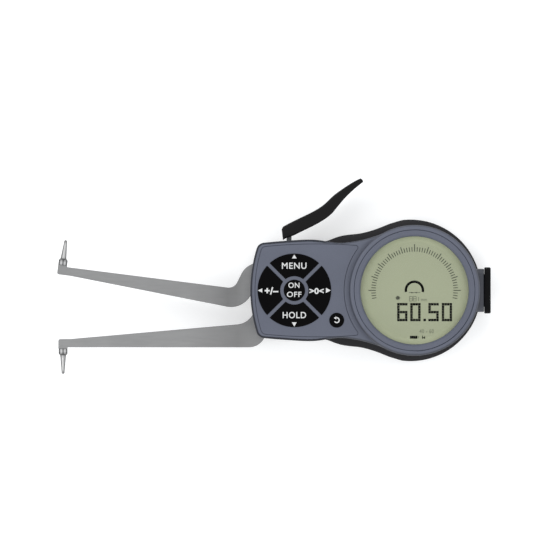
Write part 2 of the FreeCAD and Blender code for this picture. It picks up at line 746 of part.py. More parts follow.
screws = body("keypad_board_screws")
sk = sketch(screws, "pcb_low")
for x, y in BOARD_POSTS:
    circle(sk, 1.7, x, y)
add(screws, sk, 1.0, up=False)
sk = sketch(screws, "pcb_low - 0.1")
for x, y in BOARD_POSTS:
    circle(sk, 0.8, x, y)
add(screws, sk, 2.9)
sk = sketch(screws, "pcb_low - 1.0")
for x, y in BOARD_POSTS:
    box(sk, x - 1.0, y - 0.2, x + 1.0, y + 0.2)
cut(screws, sk, 0.4, up=True)

# --- dial -----------------------------------------------------------------------------------
bezel = spin("bezel_ring", [
    ("bezel_bore", "ledge_top"), ("bezel_out", "ledge_top"), ("bezel_out", "bezel_top - 0.25"),
    ("bezel_out - 0.12", "bezel_top - 0.06"), ("bezel_out - 0.4", "bezel_top"), ("bezel_in + 0.75", "bezel_top"),
    ("bezel_in", "bezel_top - 0.9"), ("bezel_in", "lip_low"), ("bezel_bore", "lip_low")])
lens = spin("lens", [(0, "lens_low"), ("lens_rad", "lens_low"), ("lens_rad", "lip_low - 0.2"),
                     ("lens_rad - 0.2", "lip_low"), (0, "lip_low")])
spin("lens_gasket", [("bezel_in + 0.3", "lens_low - 0.5"), ("lens_rad", "lens_low - 0.5"), ("lens_rad", "lens_low"),
                     ("bezel_in + 0.3", "lens_low")])
spin("display_mask", [("bezel_in - 0.15", "lcd_high"), ("lens_rad", "lcd_high"), ("lens_rad", "lens_low - 0.5"),
                      ("bezel_in + 0.25", "lens_low - 0.5"), ("bezel_in - 0.15", "lens_low - 0.9")])
spin("display_panel", [(0, "lcd_low"), ("lcd_rad", "lcd_low"), ("lcd_rad", "lcd_high"), (0, "lcd_high")])
holder = body("display_holder")
add(holder, circle(sketch(holder, "holder_low"), "holder_rad"), "lcd_low - holder_low")
add(holder, circle(sketch(holder, "lcd_low - 0.1"), "holder_rad"), "ledge_top - lcd_low")
sk = sketch(holder, "ledge_top + 1")
circle(sk, "lcd_rad + 0.05")
cut(holder, sk, "ledge_top + 1 - lcd_low")
sk = sketch(holder, "holder_low - 0.1")
circle(sk, 13.0)
circle(sk, 9.0)
cut(holder, sk, 0.9, up=True)
sk = sketch(holder, "holder_low + 0.2")
for k in range(3):
    a = math.radians(90 + 120 * k)
    circle(sk, 1.8, 20.2 * math.cos(a) * 0.85, 20.2 * math.sin(a) * 0.85)
add(holder, sk, "holder_low + 0.2 - board_high", up=False)
main = body("main_board")
add(main, circle(sketch(main, "board_low"), "board_rad"), "board_high - board_low")
for x0, y0, x1, y1, tall in ((-6, -5, 4, 5, 1.1), (7, -9, 11, -4, 0.8), (6, 3, 12, 7, 0.9), (-13, 6, -9, 12, 0.8),
                             (-12, -13, -6, -10, 0.7), (-3, -15, 1, -11, 0.8)):
    add(main, draw(sketch(main, "board_high"), rounded([(x0, y0, 0.2), (x1, y0, 0.2), (x1, y1, 0.2), (x0, y1, 0.2)])), tall)

# --- power ----------------------------------------------------------------------------------
bay = body("battery_box")
add(bay, draw(sketch(bay, "floor_top"), rounded([(-12.0, -23.8, 2), (12.0, -23.8, 2), (12.0, 23.8, 2), (-12.0, 23.8, 2)])),
    "14.4 - floor_top")
cut(bay, draw(sketch(bay, "floor_top"), rounded([(-11.1, -22.8, 1.2), (11.1, -22.8, 1.2), (11.1, 22.8, 1.2),
                                                 (-11.1, 22.8, 1.2)])), "13.3 - floor_top", up=True)
for label, side in (("battery_cell_a", 1.0), ("battery_cell_b", -1.0)):
    cell = doc.addObject("PartDesign::Body", label)
    cell.Placement = FreeCAD.Placement(V(0, 0, 0), FreeCAD.Rotation(V(1, 0, 0), -90 * side))
    bind(cell, "Placement.Base.x", "cell_off" if side > 0 else "0 - cell_off")
    bind(cell, "Placement.Base.z", "cell_mid")
    node(cell, label)
    sk = sketch(cell, 0, "XZ_Plane")
    poly(sk, [(0, "-0.5*cell_long"), ("cell_rad - 0.4", "-0.5*cell_long"), ("cell_rad", "-0.5*cell_long + 0.5"),
              ("cell_rad", "0.5*cell_long - 1.4"), ("cell_rad - 0.5", "0.5*cell_long - 0.9"),
              (1.9, "0.5*cell_long - 0.9"), (1.9, "0.5*cell_long"), (0, "0.5*cell_long")])
    f = cell.newObject("PartDesign::Revolution", fresh("Revolution"))
    f.Profile = sk
    f.ReferenceAxis = (sk, ["V_Axis"])
    f.Angle = 360
    cell.Tip = f
join([block(-9.6, 22.45, 3.6, 8.2, 0.3, 8.0), block(1.4, 22.45, 3.6, 8.2, 0.3, 8.0),
      block(-6.5, 22.26, 6.6, 2.0, 0.3, 2.0), block(4.5, 22.26, 6.6, 2.0, 0.3, 2.0)], "contact_plates")
block_bar = block(-9.6, -22.75, 3.6, 19.2, 0.3, 8.0)
join([block_bar, block(-6.5, -22.56, 6.6, 2.0, 0.3, 2.0), block(4.5, -22.56, 6.6, 2.0, 0.3, 2.0)], "contact_link")
lid = body("battery_cover")
add(lid, draw(sketch(lid, 0), rounded([(-16.4, -24.2, 4.9), (16.4, -24.2, 4.9), (16.4, 24.2, 4.9), (-16.4, 24.2, 4.9)])),
    "cover_thick")
soften(lid, at_height(0), 0.35)
add(lid, draw(sketch(lid, "cover_thick - 0.1"), rounded([(-11.0, -22.6, 1.8), (11.0, -22.6, 1.8), (11.0, 22.6, 1.8),
                                                         (-11.0, 22.6, 1.8)])), 0.8)
sk = sketch(lid, 0)
for x, y in COVER_SCREWS:
    circle(sk, 1.15, x, y)
cut(lid, sk, 2.0, up=True)
sk = sketch(lid, 0)
for x, y in COVER_SCREWS:
    circle(sk, 1.8, x, y)
cut(lid, sk, 0.75, up=True)
lid_seal = body("battery_cover_gasket")
sk = draw(sketch(lid_seal, "cover_thick"), rounded([(-12.7, -23.8, 3.5), (12.7, -23.8, 3.5), (12.7, 23.8, 3.5), (-12.7, 23.8, 3.5)]))
draw(sk, rounded([(-11.5, -22.95, 2.3), (11.5, -22.95, 2.3), (11.5, 22.95, 2.3), (-11.5, 22.95, 2.3)]))
add(lid_seal, sk, "1.5 - cover_thick")


def screw_set(label, places, head_r, head_z, head_h, shank_r, shank_h, up, recess=0.9):
    """Screws with a hexagon recess. head_z is the seat of the head; the shank goes up or down."""
    b = body(label)
    sk = sketch(b, head_z)
    for x, y in places:
        circle(sk, head_r, x, y)
    add(b, sk, head_h, up=not up)
    sk = sketch(b, head_z)
    for x, y in places:
        circle(sk, shank_r, x, y)
    add(b, sk, shank_h, up=up)
    end = "%s %s %r" % (head_z if isinstance(head_z, str) else repr(float(head_z)), "-" if up else "+", float(head_h))
    soften(b, at_height(num(end)), min(0.3, head_h * 0.35), "Fillet")
    sk = sketch(b, end)
    for x, y in places:
        pts = [(x + recess * math.cos(math.radians(60 * k)), y + recess * math.sin(math.radians(60 * k)), 0) for k in range(6)]
        draw(sk, rounded(pts))
    cut(b, sk, head_h * 0.6, up=up)
    return b


screw_set("battery_cover_screws", COVER_SCREWS, 1.7, 0.75, 0.7, 0.95, 5.6, True, 0.8)
screw_set("housing_screws", HOUSING_SCREWS, 2.1, 2.4, 1.9, "screw_rad", 16.4, True, 1.15)

# --- chassis --------------------------------------------------------------------------------
frame = body("chassis")
add(frame, draw(sketch(frame, "chassis_low"), rounded([
    (-70.6, -8.0, 2), (-64.0, -15.8, 2), (-50.0, -16.0, 2), (-47.6, -15.6, 1), (-40.4, -15.6, 1), (-39.5, -16.2, 1), (-29.0, -16.2, 2),
    (-29.0, 18.6, 2), (-37.5, 18.6, 2), (-52.5, 18.6, 2), (-53.8, 15.8, 1.5), (-60.0, 15.8, 1.5), (-62.0, 13.8, 1.5), (-69.2, 13.8, 1.5), (-70.6, 5.0, 3)])),
    "chassis_high - chassis_low")
# window under the return spring
cut(frame, draw(sketch(frame, "chassis_high + 1"), rounded([(-44.2, -13.0, 1), (-39.8, -13.0, 1), (-39.8, 9.8, 1), (-44.4, 9.8, 1)])),
    "chassis_high + 2 - chassis_low")
sk = sketch(frame, "chassis_high")
circle(sk, "bearing_out", "pivot_x", "pivot_y")
cut(frame, sk, "bearing_wide")
sk = sketch(frame, "chassis_high")
circle(sk, 3.4, "pivot_x", "pivot_y")
cut(frame, sk, "chassis_high + 1 - chassis_low")
sk = sketch(frame, "chassis_high - 0.2")
for x, y in BRIDGE_POSTS:
    circle(sk, 2.1, x, y)
add(frame, sk, "bridge_low - chassis_high + 0.2")
sk = sketch(frame, "chassis_high - 0.2")
for x, y in SENSOR_POSTS:
    circle(sk, 1.7, x, y)
add(frame, sk, "bridge_low - chassis_high + 0.2")
sk = sketch(frame, "chassis_high - 0.2")
for x, y in ARM_SCREWS:
    circle(sk, 3.3, x, y)
add(frame, sk, "arm_low - chassis_high + 0.2")
sk = sketch(frame, "bridge_low")
for x, y in BRIDGE_POSTS:
    circle(sk, 1.0, x, y)
cut(frame, sk, 5.0)
sk = sketch(frame, "arm_low")
for x, y in ARM_SCREWS:
    circle(sk, 1.25, x, y)
cut(frame, sk, 5.0)
sk = sketch(frame, "chassis_high + 0.5")
for x, y in CHASSIS_SCREWS:
    circle(sk, 1.4, x, y)
cut(frame, sk, "chassis_high + 1 - chassis_low")
STOPS = [(-46.3, 2.15)]
sk = sketch(frame, "chassis_high + 0.5")
circle(sk, 1.0, STOPS[0][0], STOPS[0][1])
circle(sk, 1.0, -42.0, -14.4)
cut(frame, sk, 3.0)
soften(frame, lambda e: at_height(num("chassis_low"))(e) and e.BoundBox.XLength > 20, 0.4, "Chamfer")
screw_set("chassis_screws", CHASSIS_SCREWS, 2.3, "chassis_high", 1.4, 1.2, 6.2, False, 1.1)
screw_set("fixed_arm_screws", ARM_SCREWS, 2.6, "arm_low + arm_thick", 1.0, 1.25, 10.6, False, 1.2)
spin("stop_pin", [(0, "chassis_high - 2.5"), (1.0, "chassis_high - 2.5"), (1.0, 15.0), (0.8, 15.2), (0, 15.2)],
     STOPS[0][0], STOPS[0][1])
spin("spring_post", [(0, "chassis_high - 2.5"), (1.0, "chassis_high - 2.5"), (1.0, 10.6), (0, 10.6)], -42.0, -14.4)

# --- pivot ----------------------------------------------------------------------------------
spin("pivot_shaft", [(0, 4.9), ("shaft_rad - 0.3", 4.9), ("shaft_rad", 5.2), ("shaft_rad", 20.8), ("shaft_rad - 0.2", 21.0), (0, 21.0)],
     "pivot_x", "pivot_y")
for label, low in (("bearing_lower", "chassis_high - bearing_wide"), ("bearing_upper", "bridge_high - bearing_wide")):
    spin(label, [("bearing_bore", low), ("bearing_bore + 0.75", low), ("bearing_bore + 0.75", low + " + 0.15"),
                 ("bearing_out - 0.7", low + " + 0.15"), ("bearing_out - 0.7", low), ("bearing_out", low),
                 ("bearing_out", low + " + bearing_wide"), ("bearing_out - 0.7", low + " + bearing_wide"),
                 ("bearing_out - 0.7", low + " + bearing_wide - 0.15"), ("bearing_bore + 0.75", low + " + bearing_wide - 0.15"),
                 ("bearing_bore + 0.75", low + " + bearing_wide"), ("bearing_bore", low + " + bearing_wide")],
         "pivot_x", "pivot_y")
washers = body("shaft_washers", "pivot_x", "pivot_y")
for z, tall in (("chassis_high + 0.06", "hub_low - chassis_high - 0.06"), ("hub_high", "bridge_low - hub_high - 0.06")):
    sk = sketch(washers, z)
    circle(sk, 2.65)
    circle(sk, "shaft_rad")
    add(washers, sk, tall)
clip = body("retaining_ring", "pivot_x", "pivot_y")
sk = sketch(clip, "bridge_high + 0.06")
circle(sk, 3.0)
circle(sk, "shaft_rad")
add(clip, sk, 0.5)
sk = sketch(clip, "bridge_high + 1")
box(sk, -0.8, -4.0, 0.8, -1.0)
cut(clip, sk, 2.0)
bridge = body("bearing_bridge")
add(bridge, draw(sketch(bridge, "bridge_low"), rounded([(-61.2, 12.2, 3), (-48.6, 18.9, 2.4), (-44.4, 15.6, 2.4), (-44.0, -2.4, 2.4),
                                                        (-47.5, -4.9, 2.4), (-63.6, -7.9, 2.8), (-66.4, -3.6, 2.8)])),
    "bridge_high - bridge_low")
sk = sketch(bridge, "bridge_high + 1")
circle(sk, "bearing_out", "pivot_x", "pivot_y")
cut(bridge, sk, "bridge_high + 2 - bridge_low")
sk = sketch(bridge, "bridge_high + 1")
for x, y in BRIDGE_POSTS:
    circle(sk, 1.15, x, y)
cut(bridge, sk, "bridge_high + 2 - bridge_low")
soften(bridge, at_height(num("bridge_high")), 0.3, "Chamfer")
screw_set("bridge_screws", BRIDGE_POSTS, 2.0, "bridge_high", 0.9, 1.0, 7.2, False, 0.9)

# --- arms -----------------------------------------------------------------------------------
fixed = body("fixed_arm")
add(fixed, draw(sketch(fixed, "arm_low"), rounded([
    (-161.19, -22.03, 0.9), (-156.0, -22.03, 6), (-75.8, -15.0, 8.8), (-72.0, -8.95, 2.5), (-48.1, -8.3, 1.6), (-47.4, -15.2, 1.6),
    (-59.5, -16.2, 2), (-65.4, -17.6, 2.0), (-70.7, -25.75, 7.6), (-157.02, -25.75, 0.0), (-157.02, -26.4, 0.2), (-161.19, -26.4, 0.2)])),
    "arm_thick")
soften(fixed, lambda e: (at_height(num("arm_low"))(e) or at_height(num("arm_low") + num("arm_thick"))(e))
       and e.BoundBox.XMax < -63.0 and e.BoundBox.YMax < -9, 0.3, "Chamfer")
sk = sketch(fixed, "arm_low + arm_thick + 1")
for x, y in ARM_SCREWS:
    circle(sk, 1.35, x, y)
cut(fixed, sk, "arm_thick + 2")
sk = fixed.newObject("Sketcher::SketchObject", fresh("Sketch"))
sk.AttachmentSupport = [([f for f in fixed.Origin.OriginFeatures if f.Role == "XZ_Plane"][0], "")]
sk.MapMode = "FlatFace"
sk.AttachmentOffset = FreeCAD.Placement(V(0, 0, 26.9), FreeCAD.Rotation())
circle(sk, 1.0, -159.05, "arm_low + 0.5*arm_thick")
cut(fixed, sk, 3.6)

LEAN = 7.25
UP = V(math.sin(math.radians(LEAN)), math.cos(math.radians(LEAN)), 0)
RIGHT = V(UP.y, -UP.x, 0)
TIP = V(-159.2, 11.82, 0)


def on_tip(a, b):
    p = TIP + RIGHT * a + UP * b
    return (p.x, p.y)


moving = body("moving_arm")
c1, c2, c3, c4, c5 = on_tip(-2.03, -0.4), on_tip(2.03, -0.4), on_tip(2.03, -1.05), on_tip(4.5, -4.77), on_tip(-2.03, -4.77)
add(moving, draw(sketch(moving, "arm_low"), rounded([
    c1 + (0.2,), c2 + (0.2,), c3 + (0,), (-81.65, 0.9, 4.2), (-76.7, 10.9, 9.0), (-69.6, 13.2, 3.0), (-61.6, 12.6, 2.0),
    (-61.2, 15.9, 1.0), (-57.96, 15.9, 0.6), (-57.96, 11.2, 0.0), (-52.6, 11.0, 1.5), (-43.0, 9.6, 4), (-38.6, 8.9, 1.0), (-33.2, 8.9, 0.6),
    (-33.9, 0.7, 0.6), (-39.2, 1.8, 1), (-43.0, 3.6, 3), (-52.0, 3.4, 2), (-56.0, 2.5, 3), (-62.0, 3.2, 4), (-71.6, 2.2, 3),
    (-78.0, -8.72, 10.0), c4 + (8,), c5 + (0.9,)])), "arm_thick")
soften(moving, lambda e: (at_height(num("arm_low"))(e) or at_height(num("arm_low") + num("arm_thick"))(e))
       and e.BoundBox.XMax < -66.5, 0.3, "Chamfer")
sk = sketch(moving, "hub_low")
circle(sk, "hub_rad", "pivot_x", "pivot_y")
add(moving, sk, "hub_high - hub_low")
sk = sketch(moving, "hub_high + 1")
circle(sk, "shaft_rad", "pivot_x", "pivot_y")
cut(moving, sk, "hub_high + 2 - hub_low")
# the finger under the lever's crank, and the tail, are thinner than the arm
cut(moving, draw(sketch(moving, "arm_low + arm_thick + 1"), rounded([(-62.2, 11.6, 0), (-56.0, 11.6, 0), (-56.0, 17.0, 0), (-62.2, 17.0, 0)])),
    "arm_thick + 1 - 2.9")
cut(moving, draw(sketch(moving, "arm_low + arm_thick + 1"), rounded([(-50.5, -2.0, 0), (-30.0, -2.0, 0), (-30.0, 12.5, 0), (-50.5, 12.5, 0)])),
    2.0)
sk = moving.newObject("Sketcher::SketchObject", fresh("Sketch"))
sk.AttachmentSupport = [([f for f in moving.Origin.OriginFeatures if f.Role == "XZ_Plane"][0], "")]
sk.MapMode = "FlatFace"
hole = TIP - UP * 1.8
turn = FreeCAD.Placement(hole, FreeCAD.Rotation(V(0, 0, 1), -LEAN)).multiply(
    FreeCAD.Placement(V(0, 0, 0), FreeCAD.Rotation(V(1, 0, 0), 90)))
base_plane = FreeCAD.Placement(V(0, 0, 0), FreeCAD.Rotation(V(1, 0, 0), 90))
sk.AttachmentOffset = base_plane.inverse().multiply(turn)
circle(sk, 1.0, 0, "arm_low + 0.5*arm_thick")
drill = moving.newObject("PartDesign::Pocket", fresh("Pocket"))
drill.Profile = sk
drill.Length = 3.6
drill.Midplane = True
moving.Tip = drill
sk = sketch(moving, "arm_low - 1")
circle(sk, 0.9, -42.0, 5.2)
cut(moving, sk, "arm_thick + 2", up=True)
spin("spring_peg", [(0, 7.2), (0.9, 7.2), (0.9, 15.5), (0, 15.5)], -42.0, 5.2)

# contact tips: threaded stud, hexagon collar, cone and rounded end
def tip(label, x, y, along):
    b = doc.addObject("PartDesign::Body", label)
    node(b, label)
    # the piece's own Z runs from the stud to the end, and its X out of the display
    b.Placement = FreeCAD.Placement(V(x, y, num("arm_low") + num("arm_thick") / 2),
                                    FreeCAD.Rotation(V(0, 0, 1), along.cross(V(0, 0, 1)), along, "ZXY"))
    sk = sketch(b, 0)
    # a corner of the hexagon points out of the display, so two facets are seen from the front
    hexa = [(1.99 / math.cos(math.radians(30)) * math.cos(math.radians(60 * k)),
             1.99 / math.cos(math.radians(30)) * math.sin(math.radians(60 * k)), 0) for k in range(6)]
    add(b, draw(sk, rounded(hexa)), 3.0)
    cone = sketch(b, 0, "XZ_Plane")
    r0, r1 = 1.33, 0.5
    ball, far = 0.66, 11.38
    draw(cone, [
        Part.LineSegment(V(0, -1.7, 0), V(1.0, -1.7, 0)), Part.LineSegment(V(1.0, -1.7, 0), V(1.0, 1.0, 0)),
        Part.LineSegment(V(1.0, 1.0, 0), V(r0, 1.0, 0)), Part.LineSegment(V(r0, 1.0, 0), V(r0, 3.5, 0)),
        Part.LineSegment(V(r0, 3.5, 0), V(r0 - 0.08, 3.7, 0)),
        Part.LineSegment(V(r0 - 0.08, 3.7, 0), V(ball, far - ball, 0)),
        Part.Arc(V(ball, far - ball, 0), V(ball * math.sqrt(0.5), far - ball + ball * math.sqrt(0.5), 0), V(0, far, 0)),
        Part.LineSegment(V(0, far, 0), V(0, -1.7, 0))])
    f = b.newObject("PartDesign::Revolution", fresh("Revolution"))
    f.Profile = cone
    f.ReferenceAxis = (cone, ["V_Axis"])
    f.Angle = 360
    b.Tip = f
    # the collar's corners are turned off at both ends
    ring = sketch(b, 0, "XZ_Plane")
    poly(ring, [(2.0, -0.05), (2.6, -0.05), (2.6, 0.35)])
    g = b.newObject("PartDesign::Groove", fresh("Groove"))
    g.Profile = ring
    g.ReferenceAxis = (ring, ["V_Axis"])
    g.Angle = 360
    b.Tip = g
    ring = sketch(b, 0, "XZ_Plane")
    poly(ring, [(1.34, 3.05), (2.6, 3.05), (2.6, 1.5)])
    g = b.newObject("PartDesign::Groove", fresh("Groove"))
    g.Profile = ring
    g.ReferenceAxis = (ring, ["V_Axis"])
    g.Angle = 360
    b.Tip = g
    return b


tip("contact_tip_fixed", -159.05, -26.4, V(0, -1, 0))
tip("contact_tip_moving", *on_tip(0, -0.4), UP)

# --- angle sensor ---------------------------------------------------------------------------
scale = body("angle_scale", "pivot_x", "pivot_y")
a0, a1 = math.radians(-14.0), math.radians(3.2)
ri, ro = 18.2, 22.2
pt = lambda r, a: V(r * math.cos(a), r * math.sin(a), 0)
am = (a0 + a1) / 2
add(scale, draw(sketch(scale, "arm_low + arm_thick - 1"), [
    Part.Arc(pt(ro, a0), pt(ro, am), pt(ro, a1)), Part.LineSegment(pt(ro, a1), pt(ri, a1)),
    Part.Arc(pt(ri, a1), pt(ri, am), pt(ri, a0)), Part.LineSegment(pt(ri, a0), pt(ro, a0))]), 0.8)
sensor = body("sensor_board")
add(sensor, draw(sketch(sensor, "bridge_low"), rounded([(-43.4, -4.8, 1), (-29.2, -5.4, 1), (-29.2, 14.6, 1), (-43.4, 14.0, 1)])), 1.2)
add(sensor, draw(sketch(sensor, "bridge_low"), rounded([(-38.6, 3.9, 0), (-32.6, 3.9, 0), (-32.6, 9.9, 0), (-38.6, 9.9, 0)])), 1.0, up=False)
add(sensor, draw(sketch(sensor, "bridge_low + 1.2"), rounded([(-42, -2, 0), (-39, -2, 0), (-39, 2, 0), (-42, 2, 0)])), 0.6)

# --- return spring: a close coil between the peg on the arm and the post --------------------
coil_top, coil_low, lie = 3.0, -12.2, 8.6
outer = doc.addObject("Part::Cylinder", fresh("Cylinder"))
outer.Radius, outer.Height = 1.35, coil_top - coil_low
outer.Placement = FreeCAD.Placement(V(-42.0, coil_low, lie), FreeCAD.Rotation(V(1, 0, 0), -90))
inner = doc.addObject("Part::Cylinder", fresh("Cylinder"))
inner.Radius, inner.Height = 0.85, coil_top - coil_low + 2
inner.Placement = FreeCAD.Placement(V(-42.0, coil_low - 1, lie), FreeCAD.Rotation(V(1, 0, 0), -90))
tube = less(outer, inner)
loops = []
for y, hold in ((5.2, 0.92), (-14.4, 1.02)):
    rim = doc.addObject("Part::Cylinder", fresh("Cylinder"))
    rim.Radius, rim.Height = hold + 0.5, 0.5
    rim.Placement = FreeCAD.Placement(V(-42.0, y, lie - 0.25), FreeCAD.Rotation())
    hole = doc.addObject("Part::Cylinder", fresh("Cylinder"))
    hole.Radius, hole.Height = hold + 0.02, 1.5
    hole.Placement = FreeCAD.Placement(V(-42.0, y, lie - 0.75), FreeCAD.Rotation())
    loops.append(less(rim, hole))
for y0, y1 in ((2.85, 5.2 - 1.15), (-14.4 + 1.25, -12.05)):
    loops.append(block(-42.2, y0, lie - 0.18, 0.4, y1 - y0, 0.36))
bar = block(-43.1, 2.72, lie - 0.32, 2.2, 0.2, 0.64)
bar_low = block(-43.1, -12.12, lie - 0.32, 2.2, 0.2, 0.64)
join([tube] + loops + [bar, bar_low], "return_spring")

# --- lever ----------------------------------------------------------------------------------
crank = body("lever_crank")
ax, ay = num("lever_x"), num("lever_y")
push_y = ay - num("push_off")
add(crank, draw(sketch(crank, "crank_low"), rounded([
    (-57.93, 28.8, 0.5), (-57.93, 21.6, 0.6), (-59.5, 20.4, 1.2), (-59.7, 17.0, 1.6), (-58.5, push_y - 1.7, 1.3), (-55.1, push_y - 1.7, 1.3),
    (-53.9, 17.0, 1.6), (-54.1, 20.4, 1.2), (-55.67, 21.6, 0.6), (-55.67, 28.8, 0.5)])), "crank_thick")
sk = sketch(crank, "crank_low + crank_thick + 1")
circle(sk, "pin_rad + 0.04", "lever_x", "lever_y")
circle(sk, "push_rad", "lever_x", "lever_y - push_off")
cut(crank, sk, "crank_thick + 2")
spin("push_pin", [(0, "arm_low + 0.2"), ("push_rad - 0.2", "arm_low + 0.2"), ("push_rad", "arm_low + 0.4"),
                  ("push_rad", "crank_low + crank_thick"), (0, "crank_low + crank_thick")], "lever_x", "lever_y - push_off")
spin("lever_pin", [(0, 7.2), ("pin_rad", 7.2), ("pin_rad", 20.4), (0, 20.4)], "lever_x", "lever_y")

TOP_EDGE = [(-59.48, 28.9), (-56.11, 30.68), (-51.59, 32.90), (-46.16, 35.57), (-42.54, 37.74), (-40.73, 39.12), (-38.92, 40.82),
            (-37.11, 42.56), (-33.49, 45.34), (-29.87, 47.78), (-26.25, 49.89), (-24.5, 50.72)]
LOW_EDGE = [(-23.25, 49.05), (-26.25, 46.70), (-29.87, 43.44), (-31.68, 41.58), (-33.49, 39.50), (-35.30, 37.28), (-37.11, 35.09),
            (-38.92, 33.44), (-40.73, 32.13), (-44.35, 29.96), (-48.87, 27.69), (-54.3, 25.02)]
handle = body("lever_handle")
upper = Part.BSplineCurve()
upper.interpolate(Points=[V(x, y, 0) for x, y in TOP_EDGE])
lower = Part.BSplineCurve()
lower.interpolate(Points=[V(x, y, 0) for x, y in LOW_EDGE])
a, b, c, d = V(*TOP_EDGE[-1], 0), V(*LOW_EDGE[0], 0), V(*LOW_EDGE[-1], 0), V(*TOP_EDGE[0], 0)
e1, e2, e3, e4 = V(-55.5, 24.55, 0), V(-58.1, 23.65, 0), V(-59.6, 22.78, 0), V(-60.17, 27.72, 0)
add(handle, draw(sketch(handle, "handle_low"), [
    upper, Part.Arc(a, V(-23.62, 50.12, 0), b), lower, Part.LineSegment(c, e1), Part.LineSegment(e1, e2), Part.LineSegment(e2, e3),
    Part.LineSegment(e3, e4), Part.LineSegment(e4, d)]), "handle_thick")
soften(handle, lambda e: at_height(num("handle_low"))(e) or at_height(num("handle_low") + num("handle_thick"))(e), 0.7)
sk = sketch(handle, "crank_low + crank_thick")
box(sk, -57.93, 22.0, -55.67, 28.8)
cut(handle, sk, "crank_thick")

# --- data port ------------------------------------------------------------------------------
neck = body("port_neck")
# the neck's cross-section lies in the YZ plane: sketch x is Y, sketch y is Z
sk = sketch(neck, 24.6, "YZ_Plane")
draw(sk, rounded([(-9.8, 7.9, 2.2), (9.8, 7.9, 2.2), (9.8, 19.1, 2.2), (-9.8, 19.1, 2.2)]))
add(neck, sk, "neck_end - 24.6")
sk = sketch(neck, 24.5, "YZ_Plane")
draw(sk, rounded([(-7.6, 10.5, 1.2), (7.6, 10.5, 1.2), (7.6, 16.5, 1.2), (-7.6, 16.5, 1.2)]))
f = cut(neck, sk, "neck_end - 24", up=True)
soften(neck, lambda e: abs(e.BoundBox.XMin - num("neck_end")) < 1e-3 and e.BoundBox.XLength < 1e-3, 0.3, "Chamfer")
plug = body("port_contacts")
sk = sketch(plug, 24.9, "YZ_Plane")
draw(sk, rounded([(-7.55, 10.55, 1.1), (7.55, 10.55, 1.1), (7.55, 16.45, 1.1), (-7.55, 16.45, 1.1)]))
add(plug, sk, 2.8)
sk = sketch(plug, 27.6, "YZ_Plane")
for k in range(5):
    box(sk, -5.4 + 2.4 * k, 12.6, -4.2 + 2.4 * k, 14.4)
add(plug, sk, 0.6)
cap = body("port_cap")
sk = sketch(cap, "cap_start", "YZ_Plane")
draw(sk, rounded([(-10.45, 7.2, 2.6), (10.45, 7.2, 2.6), (10.45, 19.8, 2.6), (-10.45, 19.8, 2.6)]))
add(cap, sk, "cap_end - cap_start")
soften(cap, lambda e: abs(e.BoundBox.XMin - num("cap_end")) < 1e-3 and e.BoundBox.XLength < 1e-3, 0.7)
soften(cap, lambda e: abs(e.BoundBox.XMax - num("cap_start")) < 1e-3 and e.BoundBox.XLength < 1e-3, 0.5)
sk = sketch(cap, 28.6, "YZ_Plane")
draw(sk, rounded([(-7.4, 10.7, 1.0), (7.4, 10.7, 1.0), (7.4, 16.3, 1.0), (-7.4, 16.3, 1.0)]))
add(cap, sk, "cap_start - 28.6 + 0.1")

# --- flat cable between the keypad board and the main board ---------------------------------
ribbon = body("flat_cable")
sk = sketch(ribbon, -4.4, "XZ_Plane")
draw(sk, rounded([(-36.5, 21.4, 0), (-36.5, 21.15, 0), (-29.4, 21.15, 0.6), (-26.0, 19.0, 0.8), (-17.5, 19.0, 0), (-17.5, 19.25, 0),
                  (-25.9, 19.25, 0.6), (-29.3, 21.4, 0.8)]))
add(ribbon, sk, 6.8)

# --- check and write ------------------------------------------------------------------------
doc.recompute()
bad = 0
for obj in doc.Objects:
    if "Invalid" in obj.State or "Error" in obj.State:
        print("failed:", obj.Name, obj.Label, obj.State)
        bad += 1
labels = [p.Label for p in PIECES]
for piece in PIECES:
    shape = piece.Shape
    if shape.isNull() or not shape.isValid() or not shape.Solids:
        print("bad shape:", piece.Label)
        bad += 1
if len(set(labels)) != len(labels):
    print("a label is used twice")
    bad += 1
if bad:
    raise RuntimeError("%d pieces or features failed" % bad)
for piece in PIECES:
    piece.Shape.exportStep("parts/%s.step" % piece.Label)
    box_ = piece.Shape.BoundBox
    print("%-24s %2d solids %9.1f mm3  x %7.2f %7.2f  y %7.2f %7.2f  z %6.2f %6.2f" % (
        piece.Label, len(piece.Shape.Solids), piece.Shape.Volume, box_.XMin, box_.XMax, box_.YMin, box_.YMax, box_.ZMin, box_.ZMax))
print(len(PIECES), "pieces")
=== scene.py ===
import json
import math

import bpy
import bmesh
from mathutils import Vector, Matrix


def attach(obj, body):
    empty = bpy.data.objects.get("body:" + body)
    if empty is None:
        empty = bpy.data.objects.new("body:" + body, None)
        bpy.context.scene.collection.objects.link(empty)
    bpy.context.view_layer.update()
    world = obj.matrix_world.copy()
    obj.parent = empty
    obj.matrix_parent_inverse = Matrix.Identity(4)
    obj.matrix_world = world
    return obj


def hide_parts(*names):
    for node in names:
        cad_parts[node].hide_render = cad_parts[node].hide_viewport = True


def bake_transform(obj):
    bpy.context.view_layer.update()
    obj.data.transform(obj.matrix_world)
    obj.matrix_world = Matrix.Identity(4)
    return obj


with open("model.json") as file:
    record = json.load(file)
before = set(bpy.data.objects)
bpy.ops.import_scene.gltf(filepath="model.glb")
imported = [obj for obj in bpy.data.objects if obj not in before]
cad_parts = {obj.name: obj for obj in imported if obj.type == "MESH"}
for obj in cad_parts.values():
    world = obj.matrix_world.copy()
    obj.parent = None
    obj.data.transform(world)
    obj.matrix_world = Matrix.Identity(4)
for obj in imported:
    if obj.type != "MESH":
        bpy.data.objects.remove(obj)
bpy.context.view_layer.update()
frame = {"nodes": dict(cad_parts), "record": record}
nodes = frame["nodes"]

MM = 0.001
SCALE = 0.4525
DIAL = (414.5, 290.3)


